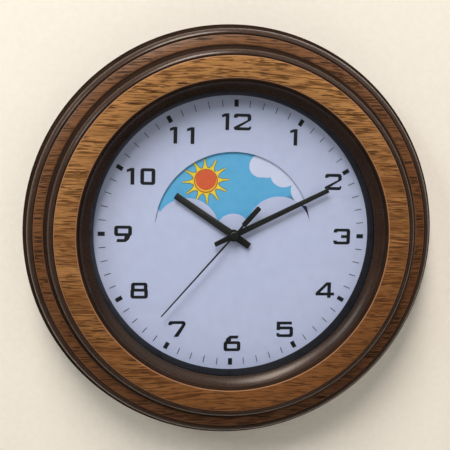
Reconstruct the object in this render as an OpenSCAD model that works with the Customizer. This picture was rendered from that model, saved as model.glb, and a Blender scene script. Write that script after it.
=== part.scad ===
// Round day and night wall clock, drawn as it comes apart on a bench.
// The modules work in the face frame: x to the right, y up to 12 o'clock, z out of the wall.
// face() turns that frame so that +Z is up and the dial looks towards -Y.
// The origin is on the hands' axis, in the plane of the wall.

/* [Rim] */
// Outer diameter of the rim
case_diameter = 304; // [294:1:344]
// Wall of the moulded rim
rim_wall = 2.4; // [1.8:0.1:3]
// How far the rim's back edge is drawn in from its widest line
back_draw = 4; // [2:0.5:6]
// Width of the mouldings outside the two wood bands
moulding_width = 8; // [7.4:0.1:10]
// Drop of the mouldings from a band to the next surface
moulding_drop = 9.9; // [9:0.1:12]
// Radius of the mouldings' rounded crest
crest_radius = 4.2; // [3.4:0.1:4.4]
// Distance of the mouldings' ledge from their foot
ledge_inset = 3; // [2.4:0.1:3]
// Height of the ledge above the foot
ledge_rise = 2.7; // [2:0.1:3]
// Width of the ledge
ledge_width = 0.8; // [0.4:0.1:1]
// Width of the outer wood band
outer_band_width = 7.7; // [6:0.1:12]
// Rise of the outer wood band towards the dial
outer_band_rise = 1.2; // [0.6:0.1:3]
// Width of the flat inner wood band
inner_band_width = 16; // [12:0.5:20]
// Thickness of the wood-grain bands
band_thickness = 0.4; // [0.2:0.1:0.6]
// Width of the sloped funnel between the inner band and the lens
funnel_width = 8; // [6:0.5:12]
// Depth of the funnel
funnel_depth = 8; // [6:0.5:12]
// Height of the upright edge at the foot of the funnel
funnel_foot = 0.5; // [0.3:0.1:1]
// Hollow of the funnel below a straight line
funnel_hollow = 1.2; // [0.4:0.1:1.6]
// Width of the crest between the funnel and the inner wood band
lip_crest = 0.8; // [0.4:0.1:1.2]

/* [Lens and dial] */
// Overlap of the lens and the dial behind the funnel
seat_overlap = 3.2; // [2.5:0.1:5]
// Gap around the lens, the spacer and the dial in the rim
seat_clearance = 0.3; // [0.2:0.05:0.5]
// Wall of the seat that holds them
seat_wall = 2.2; // [1.6:0.1:3]
// How far the seat reaches behind the dial
seat_skirt = 2.6; // [1:0.1:5]
// Thickness of the lens
lens_thickness = 2; // [1.5:0.1:3]
// Thickness of the dial
dial_thickness = 0.6; // [0.4:0.1:1]
// Narrowing of the spacer ring from the lens to the dial
spacer_taper = 2.3; // [1:0.1:3]
// Thickness of every printed layer
print_thickness = 0.1; // [0.05:0.01:0.2]
// Radius of the hole in the dial for the hands' tubes
dial_hole_radius = 3.4; // [3:0.1:4]
// Radius of the window in the dial
window_radius = 58; // [56:0.5:66]
// Height of the window's centre above the hands' axis
window_rise = 3.3; // [2.5:0.1:4]
// Turn of the window about the hands' axis
window_turn = -1.8; // [-4:0.1:4]
// Distance of the side clouds of the window from the middle
side_cloud_x = 34.3; // [33:0.1:38]
// Height of the side clouds' centres above the hands' axis
side_cloud_y = 4.1; // [3:0.1:7]
// Radius of the side clouds
side_cloud_radius = 23.9; // [23:0.1:26]
// Height of the middle cloud's centre above the hands' axis
middle_cloud_y = 2.8; // [1:0.1:4]
// Radius of the middle cloud
middle_cloud_radius = 13.1; // [12:0.1:14]

/* [Dial printing] */
// Distance of the marks' middle from the edge of the visible dial
mark_inset = 5.5; // [4:0.1:8]
// Radial length of the marks
mark_length = 5.1; // [4:0.1:7]
// Width of the hour marks
hour_mark_width = 3.1; // [2:0.1:4]
// Width of the minute marks
minute_mark_width = 0.5; // [0.3:0.05:0.8]
// Distance of the numerals' middle from the edge of the visible dial
numeral_inset = 19.5; // [18:0.1:22]
// Height of the numerals
numeral_height = 12; // [10:0.1:13]
// Width of a wide numeral
numeral_width = 12.8; // [10:0.1:14]
// Thickness of the numerals' upright strokes
upright_stroke = 2.7; // [1.8:0.1:3]
// Thickness of the numerals' level strokes
level_stroke = 2.2; // [1.5:0.1:2.6]
// Corner radius of the numerals
numeral_corner = 2; // [1:0.1:2.4]
// Distance between the middles of two numerals side by side
numeral_pitch = 12.4; // [11:0.1:14]

/* [Day and night disc] */
// How far the disc reaches beyond the window
disc_overlap = 2.7; // [2:0.1:8]
// Thickness of the disc
disc_thickness = 0.8; // [0.5:0.1:1.5]
// Gap between the nut and the disc
disc_gap = 2.4; // [2.2:0.1:3.4]
// Gap between the disc and the dial
dial_gap = 0.8; // [0.7:0.1:1.5]
// Radius of the collar that holds the disc
collar_radius = 5.5; // [4.5:0.1:8]
// Height of the collar behind the disc
collar_height = 1.2; // [0.8:0.1:1.3]
// Distance of the sun and the moon from the disc's edge
sun_inset = 19.1; // [18:0.1:22]
// Radius of the sun's orange face
sun_face_radius = 8.8; // [7:0.1:9]
// Radius of the sun's yellow rim
sun_rim_radius = 10; // [9.2:0.1:10.5]
// Reach of the sun's rays
ray_reach = 16.4; // [14:0.1:17]
// Half width of a ray at its root
ray_root = 2; // [1.2:0.1:2.2]
// Half width of a ray at its waist
ray_waist = 1.1; // [0.5:0.05:1.3]
// Half width of a ray at its tip
ray_tip = 0.85; // [0.3:0.05:1]
// Number of the sun's rays
ray_count = 12; // [8:1:16]
// Turn of the rays about the sun's middle
ray_turn = -6.5; // [-15:0.5:15]
// Radius of the moon
moon_radius = 9; // [7:0.1:11]
// Angle of the sun at rest, clockwise from 12
sun_angle = -27.9; // [-180:0.1:180]

/* [Hands] */
// Angle of the hour hand at rest, clockwise from 12
hour_angle = 303.7; // [0:0.1:360]
// Angle of the minute hand at rest, clockwise from 12
minute_angle = 63.7; // [0:0.1:360]
// Angle of the second hand at rest, clockwise from 12
second_angle = 221; // [0:0.1:360]
// Length of the hour hand
hour_length = 52; // [45:0.5:60]
// Width of the hour hand at its tip
hour_tip_width = 4.8; // [3:0.1:6]
// Width of the hour hand at its hub
hour_hub_width = 5.6; // [4:0.1:7]
// Length of the hour hand's tail
hour_tail = 14.5; // [8:0.5:20]
// Length of the minute hand
minute_length = 78; // [70:0.5:84]
// Width of the minute hand at its tip
minute_tip_width = 3.3; // [2:0.1:5]
// Width of the minute hand at its hub
minute_hub_width = 4.4; // [3:0.1:6]
// Length of the minute hand's tail
minute_tail = 15.6; // [8:0.5:20]
// Length of the second hand
second_length = 80; // [72:0.5:86]
// Width of the second hand's needle
second_width = 0.8; // [0.5:0.1:1.5]
// Width of the second hand's counterweight
weight_width = 3.9; // [2:0.1:5]
// Where the counterweight starts, from the hands' axis
weight_start = 10; // [6:0.5:14]
// Where the counterweight ends
weight_end = 28; // [20:0.5:32]
// Radius of the hands' round hubs
hub_radius = 4.4; // [3.6:0.1:5.5]
// Height of the hands' hubs
hub_height = 1.1; // [0.8:0.1:1.2]
// Thickness of the hour and minute hands
hand_thickness = 0.5; // [0.3:0.05:0.7]
// Thickness of the second hand
second_thickness = 0.3; // [0.2:0.05:0.5]
// Gap between the dial and the hour hand's blade
hour_gap = 1.8; // [1.4:0.1:3]
// Gap between two hands' blades
hand_gap = 1.3; // [1:0.1:2]
// Gap between the second hand and the lens
lens_gap = 3.2; // [2.5:0.1:5]

/* [Back] */
// Thickness of the back plate
plate_thickness = 2; // [1.5:0.1:3]
// Depth of the back plate behind the rim's edge
plate_inset = 2.5; // [2.4:0.1:4]
// Gap between the back plate and the rim
plate_gap = 0.6; // [0.3:0.1:1.5]
// Gap between the movement's corners and its well
well_gap = 4.4; // [2:0.1:8]
// Wall of the well
well_wall = 2; // [1.5:0.1:3]
// Wall of the ring that presses the dial
press_ring_wall = 2; // [1.5:0.1:3]
// How far that ring stands inside the funnel's foot
press_ring_inset = 1; // [0.5:0.1:2]
// Number of screws in the back plate
back_screw_count = 6; // [3:1:8]
// Distance of the screw posts from the inner band's inner edge
post_inset = 9; // [7.5:0.5:10]
// Radius of the screw posts
post_radius = 4; // [3:0.1:5]
// Radius of the screws' threads
screw_radius = 1.5; // [1.2:0.1:2]
// Radius of the screws' heads
screw_head_radius = 3; // [2.4:0.1:3.6]
// Height of the screws' heads
screw_head_height = 1; // [0.8:0.1:1.1]
// Length of the screws below their heads
screw_length = 10; // [8:0.5:14]
// Length of the hanger's screws below their heads
hanger_screw_length = 8; // [6:0.5:10]
// Distance of the keyhole from the back plate's edge
keyhole_inset = 23; // [20:0.5:27]
// Radius of the keyhole's round hole
keyhole_radius = 4.25; // [3.5:0.05:5]
// Width of the keyhole's slot
keyhole_slot = 4.4; // [3.5:0.1:5]
// Length of the keyhole's slot from the round hole's middle
keyhole_travel = 7; // [6:0.5:9]
// Width of the hanger plate
hanger_width = 44; // [40:0.5:50]
// Height of the hanger plate
hanger_height = 26; // [22:0.5:28]
// Thickness of the hanger plate
hanger_thickness = 1.2; // [0.8:0.1:1.3]
// Distance between the hanger plate's screws
hanger_screw_pitch = 34; // [30:0.5:38]

/* [Movement] */
// Width of the movement's case beside the train
movement_size = 56; // [50:0.5:62]
// Corner radius of the movement's case
movement_corner = 4; // [2:0.5:6]
// Wall of the movement's case
case_wall = 1.2; // [1:0.1:1.6]
// Gap between the movement and the wall
wall_gap = 1; // [0.8:0.1:3]
// Thickness of the wheels
wheel_thickness = 0.8; // [0.6:0.05:1]
// Gap between two layers of wheels
layer_gap = 0.6; // [0.5:0.05:0.8]
// How far a pinion stands out of its wheel on each side
pinion_over = 0.2; // [0.1:0.05:0.3]
// Height of the bearing bosses on the back cover
boss_height = 1.2; // [1:0.1:2]
// Thickness of the middle plate
middle_thickness = 1; // [0.8:0.1:1.4]
// Thickness of the rubber washer
washer_thickness = 0.6; // [0.4:0.1:1]
// Thickness of the well's floor, which carries the movement
carrier_thickness = 1.4; // [1.2:0.1:2]
// Thickness of the nut
nut_thickness = 2; // [1.5:0.1:3]
// Width of the nut across its corners
nut_width = 14; // [12:0.5:16]
// Gap between the middle plate and the case
middle_gap = 0.3; // [0.2:0.05:0.6]
// Distance of the middle plate's posts from its edges
middle_post_inset = 3.2; // [3:0.1:4]
// Width and height of the circuit board
board_size = 11; // [10:0.1:11]
// Thickness of the circuit board
board_thickness = 0.8; // [0.6:0.1:1.2]
// Height of the posts under the circuit board
board_post = 1.4; // [1:0.1:1.6]
// Height of the circuit board's lower edge above the hands' axis
board_y = 5.6; // [5.4:0.1:5.8]
// Gap between the circuit board and the case
board_gap = 0.8; // [0.4:0.1:1.2]
// Width of the timing chip
chip_size = 4; // [3:0.1:5]
// Height of the timing chip
chip_height = 1; // [0.8:0.1:1.4]
// Distance of the chip and the crystal from the board's edges
chip_inset = 2; // [1.5:0.1:2.2]
// Radius of the quartz crystal's can
crystal_radius = 1; // [0.8:0.05:1.1]
// Length of the quartz crystal's can
crystal_length = 6; // [5:0.1:7]
// Radius of the setting knob
knob_radius = 6; // [5:0.1:6.2]
// Height of the setting knob
knob_height = 2.4; // [1.8:0.1:2.6]
// Number of grips round the setting knob
knob_grips = 18; // [12:1:24]
// Radius of the grips
grip_radius = 0.5; // [0.3:0.05:0.7]
// Gap around the setting knob in its well
knob_gap = 1; // [0.6:0.1:1.4]
// Gap between the setting knob and the floor of its well
knob_end_gap = 0.3; // [0.2:0.05:0.5]
// Depth of the setting knob below the back of the case
knob_inset = 0.2; // [0.1:0.05:0.5]
// Radius of the battery
battery_radius = 7.1; // [7:0.05:7.25]
// Length of the battery with its button
battery_length = 50.5; // [49.5:0.1:50.5]
// Radius of the battery's button
button_radius = 2.75; // [2.5:0.05:2.75]
// Height of the battery's button
button_height = 1; // [0.8:0.1:1.2]
// Gap around the battery in its bay
battery_gap = 0.5; // [0.4:0.05:0.7]
// Thickness of the battery contacts
contact_thickness = 0.4; // [0.3:0.05:0.5]
// Height of the battery contacts
contact_height = 10; // [8:0.5:14]
// Gap between the battery and each contact
contact_gap = 0.3; // [0.2:0.05:0.4]
// Room behind each contact
contact_room = 0.85; // [0.5:0.05:1.5]
// Gap between the train and the wall of the battery's bay
bay_gap = 2.2; // [1:0.1:4]

/* [Train] */
// Radius of the second hand's arbor
second_arbor_radius = 0.5; // [0.4:0.05:0.6]
// Wall of the minute hand's tube
cannon_wall = 1.05; // [0.9:0.05:1.1]
// Wall of the hour hand's tube
tube_wall = 0.9; // [0.7:0.05:1]
// Wall of the disc's tube
day_wall = 0.65; // [0.5:0.05:0.8]
// Wall of the bush
bush_wall = 0.75; // [0.6:0.05:1]
// Radial gap between a shaft and its bore
running_gap = 0.05; // [0.03:0.01:0.08]
// Radius of the other arbors
arbor_radius = 0.6; // [0.5:0.05:0.62]
// Radius of their pivots
pivot_radius = 0.4; // [0.3:0.05:0.45]
// Gap between an arbor and what it ends at
pivot_gap = 0.25; // [0.15:0.05:0.3]
// Gap between the bosses and the first wheel
boss_gap = 0.4; // [0.3:0.05:0.6]
// Thickness of the clutch spring
spring_thickness = 0.3; // [0.2:0.05:0.4]
// Radius of the setting stem
stem_radius = 1.2; // [1:0.05:1.4]
// Distance from the hands' axis to the intermediate wheel
intermediate_distance = 8.75; // [8.6:0.05:9]
// Distance from the intermediate wheel to the rotor
rotor_distance = 7.5; // [7.4:0.05:7.8]
// Distance from the hands' axis to the third wheel
third_distance = 9; // [8.9:0.05:9.3]
// Distance from the hands' axis to the minute wheel
motion_distance = 9; // [8.95:0.01:9.05]
// Radius of the rotor's magnet
magnet_radius = 2.9; // [2.4:0.05:3]
// Length of the rotor's magnet
magnet_length = 2.6; // [2:0.1:2.7]
// Gap between the magnet and the stator
magnet_gap = 0.4; // [0.3:0.05:0.6]
// Width of the stator's ring around the magnet
stator_width = 1.9; // [1.4:0.1:2]
// Width of the stator's arms
stator_arm = 2.2; // [1.6:0.1:2.4]
// Thickness of the stator and the coil core
stator_thickness = 1; // [0.8:0.05:1]
// Gap between the stator's ring and the coil
stator_gap = 0.4; // [0.3:0.05:1]
// Gap between the coil and the case
coil_gap = 1.9; // [0.5:0.1:3]
// Gap between the coil and the middle plate
plate_coil_gap = 1.3; // [0.8:0.1:1.6]
// Distance of the coil's middle to the left of the hands' axis
coil_shift = 6.5; // [6:0.1:7]
// Radius of the coil
coil_radius = 3; // [2.6:0.1:3.2]
// Radius of the coil bobbin's flanges
bobbin_radius = 3.4; // [3.2:0.05:3.5]
// Length of the coil
coil_length = 22; // [18:0.5:23]
// Radius of the coil bobbin's tube
bobbin_tube = 1.8; // [1.6:0.05:2]
// Thickness of the coil bobbin's flanges
bobbin_flange = 1; // [0.6:0.1:1.2]
// Width of the coil core
core_width = 2; // [1.6:0.1:2.4]
// Reach of the coil core beyond the bobbin
core_reach = 5; // [4:0.1:5.4]

/* [Hidden] */
$fn = 96;

// Colours of the pieces
brown = [0.23, 0.17, 0.14];
wood = [0.6, 0.42, 0.26];
black = [0.09, 0.1, 0.13];
hand_black = [0.16, 0.16, 0.13];
dial_white = [0.86, 0.87, 0.93];
sky_blue = [0.38, 0.7, 0.86];
navy = [0.18, 0.2, 0.36];
cloud_white = [0.93, 0.94, 0.97];
sun_orange = [0.84, 0.38, 0.18];
sun_yellow = [0.93, 0.8, 0.16];
brass = [0.78, 0.64, 0.36];
steel = [0.72, 0.73, 0.75];
grey_plastic = [0.3, 0.3, 0.31];
white_plastic = [0.9, 0.9, 0.87];
copper = [0.72, 0.42, 0.24];
board_green = [0.13, 0.38, 0.24];

// A small overlap that joins or cuts solids cleanly
bite = 0.5;

// Tooth counts of the train
rotor_teeth = 10;
intermediate_teeth = 50;
intermediate_pinion_teeth = 10;
second_teeth = 60;
second_pinion_teeth = 8;
third_teeth = 64;
third_pinion_teeth = 8;
centre_teeth = 60;
cannon_teeth = 12;
minute_teeth = 36;
minute_pinion_teeth = 12;
hour_teeth = 48;
day_pinion_teeth = 8;
day_teeth = 64;

// Modules that make each pair of wheels fit its centre distance
rotor_module = 2 * rotor_distance / (rotor_teeth + intermediate_teeth);
intermediate_module = 2 * intermediate_distance / (intermediate_pinion_teeth + second_teeth);
second_module = 2 * third_distance / (second_pinion_teeth + third_teeth);
third_module = 2 * third_distance / (third_pinion_teeth + centre_teeth);
cannon_module = 2 * motion_distance / (cannon_teeth + minute_teeth);
hour_module = 2 * motion_distance / (minute_pinion_teeth + hour_teeth);
day_module = 2 * motion_distance / (day_pinion_teeth + day_teeth);

// Tooth form: heights in modules, half widths as shares of the tooth pitch
addendum = 0.8;
dedendum = 1.25;
root_half = 0.32;
tip_half = 0.11;

// Places of the arbors, with the angles from which the wheels mesh
third_angle = 180;
intermediate_angle = 90;
rotor_angle = 30;
minute_wheel_angle = 0;
third_at = polar(third_distance, third_angle);
intermediate_at = polar(intermediate_distance, intermediate_angle);
rotor_at = intermediate_at + polar(rotor_distance, rotor_angle);
minute_wheel_at = polar(motion_distance, minute_wheel_angle);
setting_at = minute_wheel_at + polar(motion_distance, minute_wheel_angle);

// Layers of the movement, from the wall outwards
movement_back = wall_gap;
train_floor = movement_back + case_wall;
boss_top = train_floor + boss_height;
pivot_back = train_floor + running_gap + pivot_gap;
level_a = boss_top + boss_gap;
level_b = level_a + wheel_thickness + layer_gap;
level_c = level_b + wheel_thickness + layer_gap;
middle_back = level_c + wheel_thickness + 2 * layer_gap;
middle_front = middle_back + middle_thickness;
level_d = middle_front + 2 * pinion_over;
level_e = level_d + wheel_thickness + layer_gap + pinion_over;
level_f = level_e + wheel_thickness + layer_gap - pinion_over / 2;
level_g = level_f + wheel_thickness + layer_gap;
cavity_front = level_g + wheel_thickness + layer_gap;
movement_front = cavity_front + case_wall;
pivot_front = cavity_front + 0.7 * case_wall;
arbor_front = cavity_front - running_gap - pivot_gap;
stator_back = level_b + wheel_thickness + pinion_over;
coil_z = stator_back + 1.5 * stator_thickness;

// Layers in front of the movement
carrier_back = movement_front + washer_thickness;
carrier_front = carrier_back + carrier_thickness;
nut_front = carrier_front + nut_thickness;
bush_front = nut_front + disc_gap / 3;
disc_back = nut_front + disc_gap;
disc_front = disc_back + disc_thickness;
collar_back = disc_back - collar_height;
dial_back = disc_front + dial_gap;
dial_front = dial_back + dial_thickness;
hour_hand_back = dial_front + hour_gap;
minute_hand_back = hour_hand_back + hand_thickness + hand_gap;
second_hand_back = minute_hand_back + hand_thickness + hand_gap;
lens_back = second_hand_back + second_thickness + lens_gap;
lens_front = lens_back + lens_thickness;
rim_front = lens_front + funnel_foot + funnel_depth;

// Shafts one inside the other, from the second hand's arbor to the bush
cannon_bore = second_arbor_radius + running_gap;
cannon_radius = cannon_bore + cannon_wall;
hour_bore = cannon_radius + running_gap;
hour_tube_radius = hour_bore + tube_wall;
day_bore = hour_tube_radius + running_gap;
day_tube_radius = day_bore + day_wall;
bush_bore = day_tube_radius + running_gap;
bush_radius = bush_bore + bush_wall;
cannon_end = minute_hand_back + hand_thickness + running_gap;
hour_tube_end = hour_hand_back + hand_thickness + running_gap;
second_end = second_hand_back + hub_height;

// Rings of the rim, from the outside in
case_radius = case_diameter / 2;
back_radius = case_radius - back_draw;
outer_band_out = case_radius - moulding_width;
outer_band_in = outer_band_out - outer_band_width;
inner_band_out = outer_band_in - moulding_width;
inner_band_in = inner_band_out - inner_band_width;
opening_radius = inner_band_in - funnel_width;
outer_band_z = rim_front - moulding_drop;
outer_edge_z = outer_band_z - outer_band_rise;

// The funnel's hollow curve, from its foot to the crest of its lip
funnel_start = [opening_radius, lens_front + funnel_foot];
funnel_end = [inner_band_in - lip_crest, rim_front];
funnel_run = funnel_end - funnel_start;
funnel_chord = norm(funnel_run);
funnel_curve = funnel_chord * funnel_chord / (8 * funnel_hollow) + funnel_hollow / 2;
funnel_lift = (funnel_curve - funnel_hollow) / funnel_chord;
funnel_at = (funnel_start + funnel_end) / 2 + funnel_lift * [-funnel_run[1], funnel_run[0]];

// Lens, spacer and dial in their seat
lens_radius = opening_radius + seat_overlap;
seat_radius = lens_radius + seat_clearance;
seat_out = seat_radius + seat_wall;
seat_back = dial_back - seat_skirt;
dial_view = opening_radius - spacer_taper;
mark_radius = dial_view - mark_inset;
numeral_radius = dial_view - numeral_inset;

// Coil, core and stator above the train
ring_out = magnet_radius + magnet_gap + stator_width;
coil_half = coil_length / 2;
core_half = coil_half + bobbin_flange + core_reach;
coil_y = rotor_at[1] + ring_out + stator_gap + bobbin_radius;
core_left = -coil_shift - core_half;
core_right = -coil_shift + core_half;
arm_y = rotor_at[1] + ring_out - stator_arm;
middle_top = coil_y - bobbin_radius - plate_coil_gap;
stator_posts = [
  [core_left + 1.5 * stator_arm, arm_y + stator_arm / 2],
  [core_right - stator_arm / 2, (rotor_at[1] + ring_out + coil_y - core_width / 2) / 2]
];

// Setting knob in its well
knob_well = knob_radius + knob_gap;
knob_back = movement_back + knob_inset;
knob_front = knob_back + knob_height;
knob_floor = knob_front + knob_end_gap;

// Battery in its bay, below the train
battery_half = battery_length / 2;
bay_half = battery_radius + battery_gap;
train_reach = max(knob_well + case_wall, (third_teeth / 2 + addendum) * second_module);
bay_top = -(train_reach + bay_gap + case_wall);
battery_y = bay_top - bay_half;
battery_z = cavity_front - battery_gap / 2 - battery_radius;

// Outline of the movement's case, round the train and the bay
train_half = movement_size / 2;
bay_half_width = battery_half + contact_gap + contact_thickness + contact_room + case_wall;
case_foot = battery_y - bay_half - case_wall;
case_head = coil_y + bobbin_radius + coil_gap + case_wall;
corner_x = max(train_half, bay_half_width) - movement_corner;
corner_y = max(case_head, -case_foot) - movement_corner;
inner_half = train_half - case_wall;
train_foot = bay_top + case_wall;

// Circuit board on its posts
board_from = [inner_half - board_size - board_gap, board_y];
board_back = middle_front + board_post;
board_front = board_back + board_thickness;

// Back plate, well, screw posts and hanger
plate_back = plate_inset;
plate_front = plate_back + plate_thickness;
plate_radius = back_radius - rim_wall - plate_gap;
well_radius = norm([corner_x, corner_y]) + movement_corner + well_gap;
press_ring_in = opening_radius - press_ring_inset;
post_ring = inner_band_in + post_inset;
post_top = rim_front - rim_wall;
post_turn = back_screw_count % 4 == 0 ? 180 / back_screw_count : 0;
keyhole_y = plate_radius - keyhole_inset;
hanger_back = plate_back - hanger_thickness;
hanger_screw_end = hanger_back + hanger_screw_length;

// Half of a numeral's box
half_w = numeral_width / 2;
half_h = numeral_height / 2;

// How far each numeral, from 1 to 12, is printed off its even place on the ring
numeral_shifts = [
  [1.8, 1.5], [2.8, -0.6], [0.1, -0.4], [-0.1, -0.3], [0.1, -0.4], [1.2, 0],
  [0.7, 0.4], [2.7, -0.7], [1.7, 0.1], [1.9, 0.8], [2.2, 0.8], [-1.5, 0.5]
];

// Disc and its printed pictures
disc_radius = window_rise + window_radius + disc_overlap;
sun_distance = disc_radius - sun_inset;

// Lobes of the cloud banks: distance and radius as shares of the disc's radius, angle from the sun
evening_lobes = [[0.858, 48.5, 0.133], [0.889, 52.5, 0.141], [0.922, 66.5, 0.16], [1.007, 85.6, 0.187]];
morning_lobes = [[1, -50.5, 0.14], [0.92, -65.5, 0.15], [0.98, -83.5, 0.17]];

// Stars: distance and reach as shares of the disc's radius, angle from the moon
star_places = [
  [0.78, -62, 0.0375], [0.595, -38, 0.028], [0.845, -26, 0.031],
  [0.86, 24, 0.028], [0.625, 36, 0.0375], [0.8, 58, 0.031]
];

// One ray from its left foot round its tip: distance from the sun's middle, offset to the side
ray_middle = sun_rim_radius + (ray_reach - sun_rim_radius) / 3;
ray_outline = [
  [sun_rim_radius, -ray_root],
  [ray_middle, -ray_waist],
  [ray_reach, -ray_tip],
  [ray_reach + ray_tip, 0],
  [ray_reach, ray_tip],
  [ray_middle, ray_waist],
  [sun_rim_radius, ray_root]
];

// Points of an arc
arc_steps = 10;

function polar(r, a) = [r * cos(a), r * sin(a)];
function bearing(from, to) = atan2(to[1] - from[1], to[0] - from[0]);
function arc(centre, r, from, to) =
  [for (i = [0 : arc_steps]) centre + polar(r, from + (to - from) * i / arc_steps)];

module face() {
  rotate([90, 0, 0])
    children();
}

// A flat shape raised from one height to another
module layer(from, to) {
  translate([0, 0, from])
    linear_extrude(to - from)
      children();
}

module rod(r, from, to) {
  translate([0, 0, from])
    cylinder(r = r, h = to - from);
}

module tube(outer, inner, from, to) {
  difference() {
    rod(outer, from, to);
    rod(inner, from - bite, to + bite);
  }
}

module at(p) {
  translate([p[0], p[1], 0])
    children();
}

// Turned clockwise from 12, as a hand is
module clockwise(a) {
  rotate([0, 0, -a])
    children();
}

module rounded_box(w, h, r) {
  square([w - 2 * r, h], center = true);
  square([w, h - 2 * r], center = true);
  for (x = [-1, 1])
    for (y = [-1, 1])
      translate([x * (w / 2 - r), y * (h / 2 - r)])
        circle(r);
}

// A wheel's outline with a tooth, or a gap, pointing along one angle
module gear_outline(teeth, mod, toward, gap = false) {
  pitch_r = teeth * mod / 2;
  tip_r = pitch_r + addendum * mod;
  root_r = pitch_r - dedendum * mod;
  step = 360 / teeth;
  base = toward + (gap ? step / 2 : 0);
  corners = [[root_r, -root_half], [tip_r, -tip_half], [tip_r, tip_half], [root_r, root_half]];
  polygon([for (i = [0 : teeth - 1]) for (c = corners) polar(c[0], base + (i + c[1]) * step)]);
}

module wheel_teeth(teeth, mod, toward, gap, level) {
  layer(level, level + wheel_thickness)
    gear_outline(teeth, mod, toward, gap);
}

module pinion_teeth(teeth, mod, toward, gap, level) {
  layer(level - pinion_over, level + wheel_thickness + pinion_over)
    gear_outline(teeth, mod, toward, gap);
}

// An arbor with a thinner pivot at each end
module pivoted_arbor(pivot_from, from, to, pivot_to) {
  rod(pivot_radius, pivot_from, pivot_to);
  rod(arbor_radius, from, to);
}

module pivot_hole(p, from, to) {
  at(p)
    rod(pivot_radius + running_gap, from, to);
}

// A moulding's outside, from the edge of a band to its foot: a rounded crest, a ledge and a sloped foot
function moulding(at) = concat(
  arc(at - [0, crest_radius], crest_radius, 90, 0),
  [
    at + [moulding_width - ledge_inset, ledge_rise - moulding_drop],
    at + [moulding_width - ledge_inset + ledge_width, ledge_rise - moulding_drop],
    at + [moulding_width, -moulding_drop]
  ]
);

// The hollow behind a moulding
function hollow(at) = [
  at - [0, band_thickness + rim_wall],
  at + [crest_radius - rim_wall, -crest_radius],
  at + [moulding_width - ledge_inset - rim_wall, ledge_rise - moulding_drop - rim_wall]
];

// The rim's section: a shell, open towards the wall
module rim_section() {
  inner_crest = [inner_band_out, rim_front];
  outer_crest = [outer_band_out, outer_edge_z];
  difference() {
    polygon(concat(
      [
        [seat_radius, 0],
        [seat_radius, lens_front],
        [opening_radius, lens_front]
      ],
      arc(funnel_at, funnel_curve, bearing(funnel_at, funnel_start), bearing(funnel_at, funnel_end)),
      [
        [inner_band_in, rim_front],
        [inner_band_in, rim_front - band_thickness],
        [inner_band_out, rim_front - band_thickness]
      ],
      moulding(inner_crest),
      [
        [outer_band_in, outer_band_z - band_thickness],
        [outer_band_out, outer_edge_z - band_thickness]
      ],
      moulding(outer_crest),
      [[back_radius, 0]]
    ));
    polygon(concat(
      [
        [seat_radius - bite, -bite],
        [seat_radius - bite, seat_back],
        [seat_out, seat_back],
        [seat_out, rim_front - funnel_depth],
        [inner_band_in + bite, rim_front - band_thickness - rim_wall]
      ],
      hollow(inner_crest),
      [[outer_band_in, outer_band_z - band_thickness - rim_wall]],
      hollow(outer_crest),
      [
        [case_radius - rim_wall, outer_edge_z - moulding_drop - rim_wall],
        [back_radius - rim_wall, 0],
        [back_radius - rim_wall, -bite]
      ]
    ));
  }
}

// Places of the screw posts round the rim, none of them at 12 o'clock
module at_posts() {
  for (i = [0 : back_screw_count - 1])
    rotate([0, 0, post_turn + i * 360 / back_screw_count])
      translate([post_ring, 0, 0])
        children();
}

module rim() {
  color(brown)
    face()
      difference() {
        union() {
          rotate_extrude($fn = 180)
            rim_section();
          at_posts()
            rod(post_radius, plate_front, post_top);
        }
        at_posts()
          rod(screw_radius, plate_front - bite, plate_back + screw_length + bite);
      }
}

module outer_wood_band() {
  color(wood)
    face()
      rotate_extrude($fn = 180)
        polygon([
          [outer_band_in, outer_band_z - band_thickness],
          [outer_band_in, outer_band_z],
          [outer_band_out, outer_edge_z],
          [outer_band_out, outer_edge_z - band_thickness]
        ]);
}

module inner_wood_band() {
  color(wood)
    face()
      tube(inner_band_out, inner_band_in, rim_front - band_thickness, rim_front);
}

module lens() {
  color([0.8, 0.88, 0.92, 0.3])
    face()
      rod(lens_radius, lens_back, lens_front);
}

module spacer_ring() {
  color(black)
    face()
      rotate_extrude($fn = 180)
        polygon([
          [dial_view, dial_front],
          [lens_radius, dial_front],
          [lens_radius, lens_back],
          [opening_radius, lens_back]
        ]);
}

// The cloud-edged opening that shows the disc
module window_outline() {
  clockwise(window_turn)
    difference() {
      translate([0, window_rise])
        circle(window_radius, $fn = 180);
      translate([0, -window_radius + side_cloud_y])
        square(2 * window_radius, center = true);
      for (side = [-1, 1])
        translate([side * side_cloud_x, side_cloud_y])
          circle(side_cloud_radius);
      translate([0, middle_cloud_y])
        circle(middle_cloud_radius);
    }
}

module dial() {
  color(dial_white)
    face()
      layer(dial_back, dial_front)
        difference() {
          circle(lens_radius, $fn = 180);
          circle(dial_hole_radius);
          window_outline();
        }
}

module print_on_dial() {
  layer(dial_front, dial_front + print_thickness)
    children();
}

module hour_marks() {
  color(black)
    face()
      print_on_dial()
        for (hour = [1 : 12])
          clockwise(hour * 30)
            translate([0, mark_radius])
              square([hour_mark_width, mark_length], center = true);
}

module minute_marks() {
  color(black)
    face()
      print_on_dial()
        for (minute = [1 : 59])
          if (minute % 5 != 0)
            clockwise(minute * 6)
              translate([0, mark_radius])
                square([minute_mark_width, mark_length], center = true);
}

// A bar of a numeral, in a box that is centred on the origin
module stroke(x0, y0, x1, y1) {
  translate([x0, y0])
    square([x1 - x0, y1 - y0]);
}

module rounded_numeral() {
  intersection() {
    union()
      children();
    rounded_box(numeral_width, numeral_height, numeral_corner);
  }
}

module loop(w, h, y) {
  translate([0, y])
    difference() {
      rounded_box(w, h, numeral_corner);
      square([w - 2 * upright_stroke, h - 2 * level_stroke], center = true);
    }
}

module top_bar() {
  stroke(-half_w, half_h - level_stroke, half_w, half_h);
}

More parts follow.
